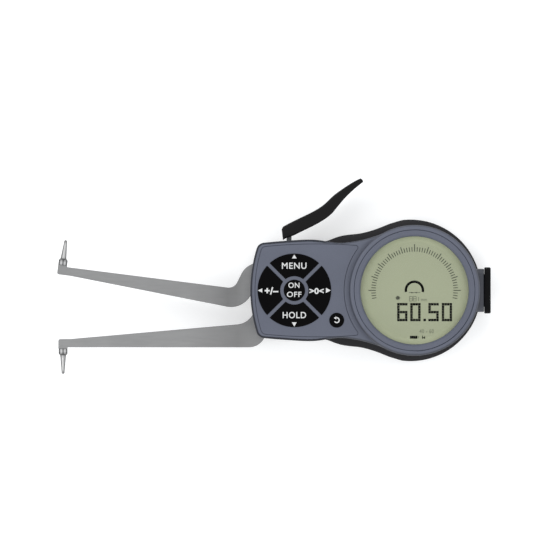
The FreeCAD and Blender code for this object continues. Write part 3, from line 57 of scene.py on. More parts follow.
def at(px, py):
    """A place on the front face, in mm, from a pixel of the 560 x 560 frame."""
    return (px - DIAL[0]) * SCALE, (DIAL[1] - py) * SCALE


# ---------------------------------------------------------------- materials


class Nodes:
    """A small wrapper that adds and links shader nodes."""

    def __init__(self, name):
        old = bpy.data.materials.get(name)
        if old is not None:
            old.name = name + "_cad"
        self.mat = bpy.data.materials.new(name)
        self.mat.use_nodes = True
        self.tree = self.mat.node_tree
        self.shader = self.tree.nodes["Principled BSDF"]
        self.coords = self.tree.nodes.new("ShaderNodeTexCoord").outputs["Object"]

    def link(self, a, b):
        self.tree.links.new(a, b)

    def node(self, kind, **sockets):
        n = self.tree.nodes.new(kind)
        for key, value in sockets.items():
            n.inputs[key.replace("_", " ")].default_value = value
        return n

    def mapped(self, scale=(1, 1, 1), turn=0.0):
        m = self.tree.nodes.new("ShaderNodeMapping")
        m.inputs["Scale"].default_value = scale
        m.inputs["Rotation"].default_value = (0, 0, turn)
        self.link(self.coords, m.inputs["Vector"])
        return m.outputs["Vector"]

    def noise(self, scale, detail=3.0, rough=0.5, vector=None):
        n = self.node("ShaderNodeTexNoise", Scale=scale, Detail=detail, Roughness=rough)
        self.link(vector or self.coords, n.inputs["Vector"])
        return n.outputs["Fac"]

    def ramp(self, fac, stops, ease=False):
        r = self.tree.nodes.new("ShaderNodeValToRGB")
        cr = r.color_ramp
        cr.interpolation = "EASE" if ease else "LINEAR"
        while len(cr.elements) < len(stops):
            cr.elements.new(0.5)
        for e, (p, c) in zip(cr.elements, stops):
            e.position = p
            e.color = (*c, 1) if len(c) == 3 else c
        self.link(fac, r.inputs["Fac"])
        return r.outputs["Color"]

    def span(self, fac, low, high, to_low, to_high, smooth=False):
        m = self.tree.nodes.new("ShaderNodeMapRange")
        if smooth:
            m.interpolation_type = "SMOOTHSTEP"
        for i, v in ((1, low), (2, high), (3, to_low), (4, to_high)):
            m.inputs[i].default_value = v
        self.link(fac, m.inputs[0])
        return m.outputs[0]

    def math(self, op, a, b=None):
        m = self.tree.nodes.new("ShaderNodeMath")
        m.operation = op
        for i, v in enumerate((a, b)):
            if v is None:
                continue
            if isinstance(v, (int, float)):
                m.inputs[i].default_value = v
            else:
                self.link(v, m.inputs[i])
        return m.outputs[0]

    def mix(self, fac, a, b, kind="MIX"):
        m = self.tree.nodes.new("ShaderNodeMix")
        m.data_type = "RGBA"
        m.blend_type = kind
        for socket, v in ((m.inputs[0], fac), (m.inputs[6], a), (m.inputs[7], b)):
            if isinstance(v, (int, float)):
                socket.default_value = v
            elif isinstance(v, tuple):
                socket.default_value = (*v, 1)
            else:
                self.link(v, socket)
        return m.outputs[2]

    def slope(self, stops):
        """A painted shade that follows how far a surface leans from level, for edges and rounded sides."""
        g = self.tree.nodes.new("ShaderNodeNewGeometry")
        v = self.tree.nodes.new("ShaderNodeSeparateXYZ")
        self.link(g.outputs["Normal"], v.inputs[0])
        return self.ramp(self.math("ABSOLUTE", v.outputs[2]), [(p, (k, k, k)) for p, k in stops])

    def bump(self, height, depth, strength=1.0, under=None):
        b = self.node("ShaderNodeBump", Strength=strength, Distance=depth)
        self.link(height, b.inputs["Height"])
        if under is not None:
            self.link(under, b.inputs["Normal"])
        return b.outputs["Normal"]

    def put(self, **sockets):
        for key, value in sockets.items():
            socket = self.shader.inputs[key.replace("_", " ")]
            if isinstance(value, bpy.types.NodeSocket):
                self.link(value, socket)
            elif isinstance(value, tuple) and len(value) == 3:
                socket.default_value = (*value, 1)
            else:
                socket.default_value = value
        return self


def shade(c, k):
    return tuple(min(1.0, v * k) for v in c)


def moulded(name, colour, rough=0.5, grain=0.16, depth=0.012, spread=0.10, patch=45.0, ior=1.46, specular=0.5, edge=None,
            above=None, beside=None, band=None, under=None, dull=None):
    """Moulded plastic or rubber. grain is the size of its texture and depth its height, in mm.

    edge is a painted shade by slope, above is (level in mm, painted shade by slope above that level), beside is (x
    from, x to in mm, painted shade by slope right of them), under is the painted shade of rounded edges on the lower
    side, and band is (radius, half width in mm, gain): a painted lighter ring around the dial that lightens the shade
    of its groove. dull is the share of gloss that is left on the darkest painted edges."""
    m = Nodes(name)
    slow = m.noise(patch, 3.0, 0.55)
    fast = m.noise(1000.0 / grain * 0.55, 2.0, 0.5)
    base = m.ramp(slow, [(0.3, shade(colour, 1 - spread)), (0.7, shade(colour, 1 + spread))])
    speck = m.ramp(fast, [(0.35, (0.93, 0.93, 0.93)), (0.65, (1.0, 1.0, 1.0))])
    colour_out = m.mix(1.0, base, speck, "MULTIPLY")
    if edge:
        # painted shade by slope: darker edges and rounded sides, with other painted slope shades right of beside and
        # above the level of above
        tone = m.slope(edge)
        v = m.tree.nodes.new("ShaderNodeSeparateXYZ")
        m.link(m.coords, v.inputs[0])
        if beside:
            tone = m.mix(m.span(v.outputs[0], beside[0] * MM, beside[1] * MM, 0.0, 1.0), tone, m.slope(beside[2]))
        if above:
            tone = m.mix(m.span(v.outputs[2], (above[0] - 0.2) * MM, (above[0] + 0.2) * MM, 0.0, 1.0), tone, m.slope(above[1]))
        colour_out = m.mix(1.0, colour_out, tone, "MULTIPLY")
        # less gloss where the painted edge shade is darkest, so these edges read darker still
        if dull:
            specular = m.span(tone, 0.25, 0.75, specular * dull, specular)
    if under:
        # painted shade: rounded edges that face the lower side are darker
        g = m.tree.nodes.new("ShaderNodeNewGeometry")
        n = m.tree.nodes.new("ShaderNodeSeparateXYZ")
        m.link(g.outputs["Normal"], n.inputs[0])
        low = m.math("MULTIPLY", m.span(n.outputs[1], -0.05, -0.6, 0.0, 1.0),
                     m.slope([(0.0, 0.0), (0.15, 0.0), (0.4, 1.0), (0.96, 1.0), (1.0, 0.0)]))
        colour_out = m.mix(1.0, colour_out, m.span(low, 0.0, 1.0, 1.0, under), "MULTIPLY")
    if band:
        # painted light: a lighter ring at the dial's groove, lightening its shade
        away = m.math("ABSOLUTE", m.math("SUBTRACT", radial(m), band[0]))
        colour_out = m.mix(1.0, colour_out, m.span(away, band[1] * 0.6, band[1], band[2], 1.0), "MULTIPLY")
    m.put(Base_Color=colour_out,
          Roughness=m.span(slow, 0.3, 0.7, rough - 0.05, rough + 0.05),
          Normal=m.bump(fast, depth * MM), IOR=ior, Specular_IOR_Level=specular)
    return m.mat


def steel(name, colour, rough=0.35, along=0.0, stretch=14.0, line=0.12, depth=0.003, metallic=1.0, spread=0.06, edge=None):
    """Ground or plated metal, with fine marks along one direction or around an axis in mm."""
    m = Nodes(name)
    marks = m.noise(1000.0 / line * 0.4, 3.0, 0.6, m.mapped((1.0 / stretch, 1, 1), along))
    slow = m.noise(70.0, 3.0, 0.5)
    base = m.ramp(slow, [(0.3, shade(colour, 1 - spread)), (0.7, shade(colour, 1 + spread))])
    fine = m.ramp(marks, [(0.3, (0.9, 0.9, 0.9)), (0.7, (1.0, 1.0, 1.0))])
    colour_out = m.mix(1.0, base, fine, "MULTIPLY")
    if edge:
        # painted shade by slope on edges and rounded sides
        colour_out = m.mix(1.0, colour_out, m.slope(edge), "MULTIPLY")
    m.put(Base_Color=colour_out, Metallic=metallic,
          Roughness=m.span(marks, 0.3, 0.7, rough - 0.05, rough + 0.07),
          Normal=m.bump(marks, depth * MM))
    return m.mat


def arm_metal(name):
    """Matt chromed steel with painted shade that goes darker towards the bends, and painted light that lightens it
    again near the housing.
    """
    m = Nodes(name)
    colour = (0.304, 0.301, 0.298)
    marks = m.noise(3600.0, 3.0, 0.6, m.mapped((1.0 / 24.0, 1, 1), 0.03))
    slow = m.noise(60.0, 3.0, 0.5)
    base = m.ramp(slow, [(0.3, shade(colour, 0.975)), (0.7, shade(colour, 1.025))])
    fine = m.ramp(marks, [(0.3, (0.93, 0.93, 0.93)), (0.7, (1.0, 1.0, 1.0))])
    v = m.tree.nodes.new("ShaderNodeSeparateXYZ")
    m.link(m.coords, v.inputs[0])
    # painted shade along each arm, darkest at the bends, and painted light near the housing where its shadow falls; one
    # ramp for the upper arm, one for the lower
    along = m.span(v.outputs[0], -0.104, -0.072, 0.0, 1.0)
    upper = m.ramp(along, [(0.0, (0.96, 0.96, 0.96)), (0.12, (0.92, 0.92, 0.92)), (0.36, (0.84, 0.84, 0.84)), (0.61, (0.675, 0.675, 0.675)),
                            (0.725, (0.75, 0.75, 0.75)), (0.825, (0.93, 0.93, 0.93)), (0.90, (1.0, 1.0, 1.0))])
    lower = m.ramp(along, [(0.0, (1, 1, 1)), (0.2, (0.96, 0.96, 0.96)), (0.75, (0.77, 0.77, 0.77)), (0.87, (0.85, 0.85, 0.85)), (1.0, (0.97, 0.97, 0.97))])
    side = m.span(v.outputs[1], -0.014, -0.011, 0.0, 1.0)
    tone = m.mix(side, lower, upper)
    colour_out = m.mix(1.0, m.mix(1.0, base, fine, "MULTIPLY"), tone, "MULTIPLY")
    # painted shade by slope on the arms' edges
    colour_out = m.mix(1.0, colour_out, m.slope([(0.0, 0.78), (0.55, 0.68), (0.9, 1.0)]), "MULTIPLY")
    m.put(Base_Color=colour_out, Metallic=1.0, Roughness=m.span(marks, 0.3, 0.7, 0.40, 0.50), Normal=m.bump(marks, 0.002 * MM))
    return m.mat


def tip_metal(name):
    """Ground steel of the contact tips, with painted highlights on the collars' facets between painted shade on their
    corners, and painted shade on the tapered pins by slope and towards their points.
    """
    m = Nodes(name)
    colour = (0.66, 0.652, 0.645)
    marks = m.noise(5200.0, 3.0, 0.6, m.mapped((1.0 / 6.0, 1, 1)))
    fine = m.ramp(marks, [(0.3, (0.92, 0.92, 0.92)), (0.7, (1.0, 1.0, 1.0))])
    p = m.tree.nodes.new("ShaderNodeSeparateXYZ")
    m.link(m.coords, p.inputs[0])
    x = m.math("ADD", p.outputs[0], 0.1592)
    lean = math.radians(7.25)
    y = m.math("SUBTRACT", p.outputs[1], 0.01182)
    upper = m.span(p.outputs[1], -0.005, 0.005, 0.0, 1.0)
    # across and along the piece's own axis, in mm, for the lower and the upper tip
    across_low = m.math("MULTIPLY", m.math("SUBTRACT", x, 0.00015), 1000.0)
    along_low = m.math("MULTIPLY", m.math("ADD", p.outputs[1], 0.0264), -1000.0)
    across_up = m.math("ADD", m.math("MULTIPLY", x, 1000.0 * math.cos(lean)), m.math("MULTIPLY", y, -1000.0 * math.sin(lean)))
    along_up = m.math("ADD", m.math("ADD", m.math("MULTIPLY", x, 1000.0 * math.sin(lean)), m.math("MULTIPLY", y, 1000.0 * math.cos(lean))), 0.4)
    pick = lambda a, b: m.math("ADD", m.math("MULTIPLY", a, m.math("SUBTRACT", 1.0, upper)), m.math("MULTIPLY", b, upper))
    across = m.math("ABSOLUTE", pick(across_low, across_up))
    along = pick(along_low, along_up)
    # painted highlight across the middle of each collar facet, painted shade at its corners and seam and at the
    # collar's ends
    facet = m.ramp(m.span(across, 0.0, 2.0, 0.0, 1.0), [(0.0, (0.38, 0.38, 0.38)), (0.12, (0.42, 0.42, 0.42)), (0.27, (1.0, 1.0, 1.0)),
                                                       (0.56, (1.0, 1.0, 1.0)), (0.72, (0.30, 0.30, 0.30)), (1.0, (0.17, 0.17, 0.17))])
    ends = m.ramp(m.span(along, 0.0, 3.0, 0.0, 1.0), [(0.0, (0.45, 0.45, 0.45)), (0.10, (0.97, 0.97, 0.97)), (0.42, (1.0, 1.0, 1.0)),
                                                     (0.68, (0.62, 0.62, 0.62)), (1.0, (0.55, 0.55, 0.55))])
    # painted shade on the collar's rim
    collar = m.mix(m.span(along, 2.15, 2.5, 0.0, 1.0), m.mix(1.0, facet, ends, "MULTIPLY"), (0.235, 0.235, 0.235))
    # painted shade on the tapered pin by slope, darker still towards its point
    cone = m.slope([(0.0, 0.17), (0.5, 0.25), (0.78, 0.48), (0.92, 0.70), (1.0, 0.70)])
    end = m.ramp(m.span(along, 9.4, 11.1, 0.0, 1.0), [(0.0, (1.0, 1.0, 1.0)), (0.45, (0.78, 0.78, 0.78)), (1.0, (0.46, 0.46, 0.46))])
    tone = m.mix(m.span(along, 3.02, 3.12, 0.0, 1.0), collar, m.mix(1.0, cone, end, "MULTIPLY"))
    m.put(Base_Color=m.mix(1.0, m.mix(1.0, colour, fine, "MULTIPLY"), tone, "MULTIPLY"), Metallic=1.0,
          Roughness=m.span(marks, 0.3, 0.7, 0.38, 0.48), Normal=m.bump(marks, 0.003 * MM))
    return m.mat


def radial(m, centre=(0.0, 0.0)):
    """Distance from an upright axis, in mm."""
    v = m.tree.nodes.new("ShaderNodeSeparateXYZ")
    m.link(m.coords, v.inputs[0])
    x = m.math("SUBTRACT", v.outputs[0], centre[0] * MM)
    y = m.math("SUBTRACT", v.outputs[1], centre[1] * MM)
    d = m.math("SQRT", m.math("ADD", m.math("MULTIPLY", x, x), m.math("MULTIPLY", y, y)))
    return m.math("MULTIPLY", d, 1000.0)


def display_glass(name):
    m = Nodes(name)
    colour = (0.444, 0.474, 0.316)
    slow = m.noise(22.0, 2.0, 0.5)
    base = m.ramp(slow, [(0.3, shade(colour, 0.975)), (0.7, shade(colour, 1.025))])
    fine = m.noise(2600.0, 1.0, 0.5)
    grain = m.ramp(fine, [(0.3, (0.97, 0.97, 0.97)), (0.7, (1.0, 1.0, 1.0))])
    # painted light: the display lighter towards its rim, offsetting the bezel's shadow
    edge = m.ramp(m.span(radial(m), 19.5, 24.5, 0.0, 1.0), [(0.0, (0.80, 0.80, 0.80)), (0.4, (0.85, 0.85, 0.84)), (0.8, (0.99, 0.99, 0.96)), (1.0, (1.0, 1.0, 0.96))])
    v = m.tree.nodes.new("ShaderNodeSeparateXYZ")
    m.link(m.coords, v.inputs[0])
    # painted shade on the right of the display's rim
    right = m.span(m.math("MULTIPLY", m.span(radial(m), 20.3, 24.2, 0.0, 1.0), m.span(v.outputs[0], 0.006, 0.022, 0.0, 1.0)), 0.0, 1.0, 1.0, 0.80)
    edge = m.mix(1.0, edge, m.ramp(right, [(0.0, (0, 0, 0)), (1.0, (1, 1, 1))]), "MULTIPLY")
    # painted light at the top and bottom of the display's rim
    top_bottom_painted_light = m.math("MULTIPLY", m.span(radial(m), 21.6, 23.2, 0.0, 1.0), m.span(m.math("ABSOLUTE", v.outputs[1]), 0.013, 0.022, 0.0, 1.0))
    edge = m.mix(1.0, edge, m.span(top_bottom_painted_light, 0.0, 1.0, 1.0, 1.16), "MULTIPLY")
    m.put(Base_Color=m.mix(1.0, m.mix(1.0, base, grain, "MULTIPLY"), edge, "MULTIPLY"),
          Roughness=m.span(fine, 0.3, 0.7, 0.33, 0.4), Specular_IOR_Level=0.35)
    return m.mat


def clear(name, colour, alpha, rough=0.04):
    m = Nodes(name)
    smear = m.noise(55.0, 4.0, 0.6)
    m.put(Base_Color=m.ramp(smear, [(0.3, shade(colour, 0.96)), (0.7, colour)]),
          Roughness=m.span(smear, 0.3, 0.7, rough, rough + 0.05), Alpha=alpha, Specular_IOR_Level=0.6)
    return m.mat


def circuit(name):
    """Green board with a faint pattern of tracks."""
    m = Nodes(name)
    w = m.tree.nodes.new("ShaderNodeTexBrick")
    w.inputs["Scale"].default_value = 260.0
    w.inputs["Mortar Size"].default_value = 0.07
    w.inputs["Color1"].default_value = (0.012, 0.085, 0.035, 1)
    w.inputs["Color2"].default_value = (0.016, 0.10, 0.042, 1)
    w.inputs["Mortar"].default_value = (0.03, 0.17, 0.07, 1)
    m.link(m.coords, w.inputs["Vector"])
    fine = m.noise(900.0)
    m.put(Base_Color=w.outputs["Color"], Roughness=m.span(fine, 0.3, 0.7, 0.22, 0.34), Normal=m.bump(w.outputs["Fac"], 0.02 * MM, 0.5))
    return m.mat


GREY = (0.090, 0.098, 0.131)
# tones by slope for painted shade on the shell's edges, the neck, the dial head and the keypad panel, and painted light
# and shade on the bezel ring
SHELL_PAINTED_SHADE = [(0.0, 0.86), (0.15, 0.76), (0.40, 0.36), (0.62, 0.25), (0.955, 0.25), (0.993, 0.90), (1.0, 1.0)]
NECK_PAINTED_SHADE = [(0.0, 0.86), (0.30, 0.62), (0.60, 0.58), (0.85, 0.82), (0.96, 0.97), (1.0, 1.0)]
HEAD_PAINTED_SHADE = [(0.0, 0.80), (0.12, 0.50), (0.6, 0.62), (0.9, 0.95), (1.0, 1.0)]
PANEL_PAINTED_SHADE = [(0.0, 0.95), (0.5, 0.74), (0.85, 0.74), (0.97, 1.0), (1.0, 1.0)]
RING_PAINTED_LIGHT_AND_SHADE = [(0.0, 1.0), (0.45, 1.0), (0.60, 0.78), (0.72, 0.76), (0.93, 0.656), (1.0, 0.625)]
LOOK = {
    # painted shade on the shell's edges, dial head, neck and lower edges, and a painted lighter ring at the dial's
    # groove
    "shell_grey": moulded("shell_grey_look", GREY, rough=0.48, grain=0.20, depth=0.010, spread=0.04, edge=SHELL_PAINTED_SHADE,
                          above=(27.4, HEAD_PAINTED_SHADE), beside=(-41.0, -37.5, NECK_PAINTED_SHADE), band=(27.38, 0.42, 1.3), under=0.6, dull=0.45),
    # painted shade by slope on the rear shell's edges
    "shell_black": moulded("shell_black_look", (0.028, 0.0268, 0.0285), rough=0.58, grain=0.24, depth=0.014, spread=0.08, specular=0.20,
                            edge=[(0.0, 0.62), (0.25, 0.45), (0.85, 0.5), (0.97, 1.0)]),
    "rubber_black": moulded("rubber_black_look", (0.0050, 0.0048, 0.0053), rough=0.62, grain=0.12, depth=0.006, spread=0.12, specular=0.09),
    "keypad_rubber": moulded("keypad_rubber_look", (0.28, 0.28, 0.29), rough=0.6, grain=0.2, depth=0.006),
    "key_black": moulded("key_black_look", (0.0021, 0.0019, 0.0021), rough=0.50, grain=0.10, depth=0.004, spread=0.12, specular=0.034),
    "handle_black": moulded("handle_black_look", (0.0066, 0.0061, 0.0063), rough=0.38, grain=0.14, depth=0.006, spread=0.12, specular=0.165),
    "window": clear("window_look", (0.035, 0.038, 0.035), 0.05),
    "display": display_glass("display_look"),
    "mask_black": moulded("mask_look", (0.12, 0.13, 0.12), rough=0.6, grain=0.1, depth=0.003),
    "moulded_white": moulded("moulded_white_look", (0.72, 0.72, 0.70), rough=0.45, grain=0.2, depth=0.006, spread=0.03),
    "moulded_dark": moulded("moulded_dark_look", (0.022, 0.022, 0.024), rough=0.45, grain=0.2, depth=0.006),
    "neck_grey": moulded("neck_grey_look", (0.070, 0.073, 0.088), rough=0.5, grain=0.18, depth=0.010, spread=0.06),
    "board_green": circuit("board_look"),
    "cell_jacket": steel("cell_jacket_look", (0.42, 0.43, 0.46), rough=0.28, metallic=0.55, along=math.pi / 2),
    "contact_metal": steel("contact_metal_look", (0.72, 0.69, 0.60), rough=0.3),
    "screw_steel": steel("screw_steel_look", (0.50, 0.50, 0.52), rough=0.32, line=0.08),
    "cast_aluminium": moulded("cast_aluminium_look", (0.55, 0.56, 0.57), rough=0.45, grain=0.3, depth=0.02, spread=0.05),
    "arm_steel": arm_metal("arm_steel_look"),
    "tip_steel": tip_metal("tip_steel_look"),
    "bright_steel": steel("bright_steel_look", (0.62, 0.62, 0.63), rough=0.24, line=0.08),
    # painted shade by slope on edges
    "dark_steel": steel("dark_steel_look", (0.17, 0.172, 0.168), rough=0.42, line=0.08, edge=[(0.0, 0.7), (0.5, 0.75), (0.9, 1.0)]),
    "spring_steel": steel("spring_steel_look", (0.50, 0.49, 0.48), rough=0.28, line=0.08),
    "scale_glass": clear("scale_glass_look", (0.55, 0.6, 0.58), 0.55, 0.08),
    "cable_film": moulded("cable_film_look", (0.42, 0.19, 0.035), rough=0.3, grain=0.2, depth=0.002, spread=0.06),
}
LOOK["cast_aluminium"].node_tree.nodes["Principled BSDF"].inputs["Metallic"].default_value = 1.0

slot_of = {s["node"]: s["material_slot"] for s in frame["record"]["subparts"]}
# the bezel ring and the keypad panel have the shell's finish, with their own lighter painted edge shade in place of the
# shell's dark one; the ring's brighter base and slope tones paint light on its steep walls, with a painted lighter ring
# at its groove
RING = moulded("bezel_look", shade(GREY, 1.60), rough=0.46, grain=0.20, depth=0.010, spread=0.04, edge=RING_PAINTED_LIGHT_AND_SHADE, band=(27.38, 0.42, 1.3))
PANEL = moulded("panel_look", GREY, rough=0.48, grain=0.20, depth=0.010, spread=0.04, edge=PANEL_PAINTED_SHADE)
OWN = {"bezel_ring": RING, "keypad_panel": PANEL}
for name, o in nodes.items():
    mat = OWN.get(name) or LOOK[slot_of[name]]
    for i in range(max(1, len(o.data.materials))):
        if i < len(o.data.materials):
            o.data.materials[i] = mat
        else:
            o.data.materials.append(mat)

WHITE = moulded("legend_white", (0.60, 0.60, 0.59), rough=0.5, grain=0.08, depth=0.001, spread=0.03)
INK = moulded("display_ink", (0.0016, 0.0017, 0.0013), rough=0.5, grain=0.08, depth=0.001, spread=0.05, specular=0.02)
INK_GREY = moulded("display_ink_grey", (0.066, 0.071, 0.050), rough=0.5, grain=0.08, depth=0.001, spread=0.05, specular=0.2)
INK_FAINT = moulded("display_ink_faint", (0.13, 0.14, 0.095), rough=0.5, grain=0.08, depth=0.001, spread=0.04, specular=0.2)
INK_PALE = moulded("display_ink_pale", (0.215, 0.23, 0.155), rough=0.5, grain=0.08, depth=0.001, spread=0.04, specular=0.2)

# ---------------------------------------------------------------- mesh helpers


def piece(name, verts, faces, mat, body, smooth=False, angle=35.0):
    """A mesh piece from points in mm."""
    me = bpy.data.meshes.new(name)
    me.from_pydata([(x * MM, y * MM, z * MM) for x, y, z in verts], [], faces)
    me.validate()
    me.materials.append(mat)
    o = bpy.data.objects.new(name, me)
    bpy.context.collection.objects.link(o)
    if smooth:
        me.polygons.foreach_set("use_smooth", [True] * len(me.polygons))
        me.set_sharp_from_angle(angle=math.radians(angle))
    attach(o, body)
    return o


class Flat:
    """Gathers thin upright prisms (marks, strokes, dots) into one mesh."""

    def __init__(self, low, high):
        self.low, self.high, self.v, self.f = low, high, [], []

    def prism(self, ring):
        area = sum(a[0] * b[1] - b[0] * a[1] for a, b in zip(ring, ring[1:] + ring[:1]))
        if area < 0:
            ring = ring[::-1]
        n, k = len(ring), len(self.v)
        self.v += [(x, y, self.low) for x, y in ring] + [(x, y, self.high) for x, y in ring]
        self.f.append(tuple(range(k + n - 1, k - 1, -1)))
        self.f.append(tuple(range(k + n, k + 2 * n)))
        for i in range(n):
            j = (i + 1) % n
            self.f.append((k + i, k + j, k + n + j, k + n + i))

    def bar(self, a, b, width):
        ax, ay = a
        bx, by = b
        d = math.hypot(bx - ax, by - ay)
        nx, ny = -(by - ay) / d * width / 2, (bx - ax) / d * width / 2
        self.prism([(ax - nx, ay - ny), (bx - nx, by - ny), (bx + nx, by + ny), (ax + nx, ay + ny)])

    def disc(self, c, r, n=24):
        self.prism([(c[0] + r * math.cos(2 * math.pi * i / n), c[1] + r * math.sin(2 * math.pi * i / n)) for i in range(n)])

    def box(self, x0, y0, x1, y1):
        self.prism([(x0, y0), (x1, y0), (x1, y1), (x0, y1)])

    def arc(self, c, r0, r1, a0, a1, n=40):
        """A ring sector, as one strip of wedges with shared walls only at its ends."""
        k = len(self.v)
        for i in range(n + 1):
            a = math.radians(a0 + (a1 - a0) * i / n)
            for r in (r0, r1):
                for z in (self.low, self.high):
                    self.v.append((c[0] + r * math.cos(a), c[1] + r * math.sin(a), z))
        for i in range(n):
            p, q = k + 4 * i, k + 4 * i + 4
            self.f += [(p + 1, p + 3, q + 3, q + 1), (p, q, q + 2, p + 2), (p, p + 1, q + 1, q), (p + 2, q + 2, q + 3, p + 3)]
        e = k + 4 * n
        self.f += [(k, k + 2, k + 3, k + 1), (e, e + 1, e + 3, e + 2)]

    def make(self, name, mat, body):
        return piece(name, self.v, self.f, mat, body)


def lettering(name, text, box_px, low, high, mat, body, bold=0.03, space=1.0):
    """Text drawn to fill a box given in pixels, as a thin solid between two levels in mm."""
    cu = bpy.data.curves.new(name + "_c", "FONT")
    cu.body = text
    cu.align_x, cu.align_y = "CENTER", "CENTER"
    cu.size = 1.0
    cu.offset = bold
    cu.space_character = space
    cu.resolution_u = 6
    cu.extrude = 0.5
    cu.fill_mode = "BOTH"
    tmp = bpy.data.objects.new(name + "_t", cu)
    bpy.context.collection.objects.link(tmp)
    bpy.context.view_layer.update()
    me = bpy.data.meshes.new_from_object(tmp.evaluated_get(bpy.context.evaluated_depsgraph_get()))
    bpy.data.objects.remove(tmp)
    bpy.data.curves.remove(cu)
    bm = bmesh.new()
    bm.from_mesh(me)
    bmesh.ops.remove_doubles(bm, verts=bm.verts, dist=1e-5)
    bm.to_mesh(me)
    bm.free()
    xs = [v.co.x for v in me.vertices]
    ys = [v.co.y for v in me.vertices]
    zs = [v.co.z for v in me.vertices]
    x0, y1 = at(box_px[0], box_px[1])
    x1, y0 = at(box_px[2], box_px[3])
    for v in me.vertices:
        x = x0 + (v.co.x - min(xs)) / (max(xs) - min(xs)) * (x1 - x0)
        y = y0 + (v.co.y - min(ys)) / (max(ys) - min(ys)) * (y1 - y0)
        z = low + (v.co.z - min(zs)) / (max(zs) - min(zs)) * (high - low)
        v.co = (x * MM, y * MM, z * MM)
    me.name = name
    me.materials.clear()
    me.materials.append(mat)
    o = bpy.data.objects.new(name, me)
    bpy.context.collection.objects.link(o)
    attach(o, body)
    return o


# ---------------------------------------------------------------- key legends

KEY_LOW, KEY_HIGH = 26.96, 27.03


def triangle(name, tip, base_a, base_b, body):
    f = Flat(KEY_LOW, KEY_HIGH)
    f.prism([at(*tip), at(*base_a), at(*base_b)])
    return f.make(name, WHITE, body)


triangle("legend_arrow_up", (294.15, 254.5), (291.75, 258.3), (296.6, 258.3), "key_top")
triangle("legend_arrow_down", (294.15, 326.4), (291.75, 322.2), (296.6, 322.2), "key_bottom")
triangle("legend_arrow_left", (257.7, 290.4), (262.2, 288.3), (262.2, 292.5), "key_left")
triangle("legend_arrow_right", (330.6, 290.3), (325.8, 287.7), (325.8, 292.9), "key_right")
lettering("legend_menu", "MENU", (281.8, 262.5, 306.4, 268.8), KEY_LOW, KEY_HIGH, WHITE, "key_top", 0.012, 1.12)
lettering("legend_hold", "HOLD", (282.6, 311.8, 306.0, 318.2), KEY_LOW, KEY_HIGH, WHITE, "key_bottom", 0.012, 1.12)
lettering("legend_plus_minus", "+/–", (264.6, 287.0, 278.2, 294.4), KEY_LOW, KEY_HIGH, WHITE, "key_left", 0.04, 1.1)
lettering("legend_zero", ">0<", (309.3, 287.9, 323.7, 294.0), KEY_LOW, KEY_HIGH, WHITE, "key_right", 0.03, 1.0)
lettering("legend_on", "ON", (288.3, 282.5, 299.4, 287.9), KEY_LOW, KEY_HIGH, WHITE, "key_centre", 0.012, 1.1)
lettering("legend_off", "OFF", (286.8, 291.6, 301.4, 297.0), KEY_LOW, KEY_HIGH, WHITE, "key_centre", 0.012, 1.1)

f = Flat(KEY_LOW, KEY_HIGH)
cx, cy = at(336.7, 320.1)
f.arc((cx, cy), 0.84, 1.34, -150, 110, 36)
tip_a = math.radians(110)
mx, my = cx + 1.09 * math.cos(tip_a), cy + 1.09 * math.sin(tip_a)
f.prism([(mx - 0.95, my + 0.0), (mx + 0.12, my + 0.72), (mx + 0.12, my - 0.72)])
f.make("legend_return", WHITE, "key_small")

# ---------------------------------------------------------------- display content

SEG_LOW, SEG_HIGH = 25.085, 25.13

f = Flat(SEG_LOW, SEG_HIGH)
for i in range(-3, 54):
    a = math.radians(3.6 * i)
    outer = 46.2 if i % 25 == 0 else 45.3 if i % 5 == 0 else 43.3
    r0, r1 = 38.8 * SCALE, outer * SCALE
    f.bar((r0 * math.cos(a), r0 * math.sin(a)), (r1 * math.cos(a), r1 * math.sin(a)), 0.40 if i % 5 == 0 else 0.36)
f.make("display_scale", INK_GREY, "housing")

f = Flat(SEG_LOW, SEG_HIGH)
f.arc(at(414.3, 290.15), 7.3 * SCALE, 9.75 * SCALE, -12, 192, 48)
f.make("display_arch", INK, "housing")

f = Flat(SEG_LOW, SEG_HIGH)
ax0, ay = at(408.5, 292.4)
ax1, _ = at(420.4, 292.4)
f.bar((ax0 + 0.6, ay), (ax1 - 0.6, ay), 0.16)
f.prism([(ax0, ay), (ax0 + 0.75, ay + 0.3), (ax0 + 0.75, ay - 0.3)])
f.prism([(ax1, ay), (ax1 - 0.75, ay + 0.3), (ax1 - 0.75, ay - 0.3)])
f.make("display_arrow_line", INK_FAINT, "housing")

f = Flat(SEG_LOW + 0.01, SEG_HIGH + 0.01)
for x_px, way in ((411.0, 1.3), (417.0, -1.3)):
    hx, hy = at(x_px, 292.5)
    f.prism([(hx, hy - 0.33), (hx, hy + 0.33), (hx + way, hy + 0.05), (hx + way, hy - 0.05)])
f.make("display_arrow_heads", INK_GREY, "housing")

f = Flat(SEG_LOW, SEG_HIGH)
cx, cy = at(397.75, 297.8)
f.disc((cx, cy), 1.75 * SCALE, 28)
for k in range(8):
    g = math.radians(45 * k)
    far = 2.9 if k % 4 == 0 else 2.45
    f.prism([(cx + 1.65 * SCALE * math.cos(g - 0.3), cy + 1.65 * SCALE * math.sin(g - 0.3)),
             (cx + far * SCALE * math.cos(g), cy + far * SCALE * math.sin(g)),
             (cx + 1.65 * SCALE * math.cos(g + 0.3), cy + 1.65 * SCALE * math.sin(g + 0.3))])
f.make("display_sun_mark", INK_GREY, "housing")

GLYPH = {
    "6": ("####", "#...", "#...", "####", "#..#", "#..#", "####"),
    "0": ("####", "#..#", "#..#", "#..#", "#..#", "#..#", "####"),
    "5": ("####", "#...", "#...", "####", "...#", "...#", "####"),
}
PITCH = 2.63


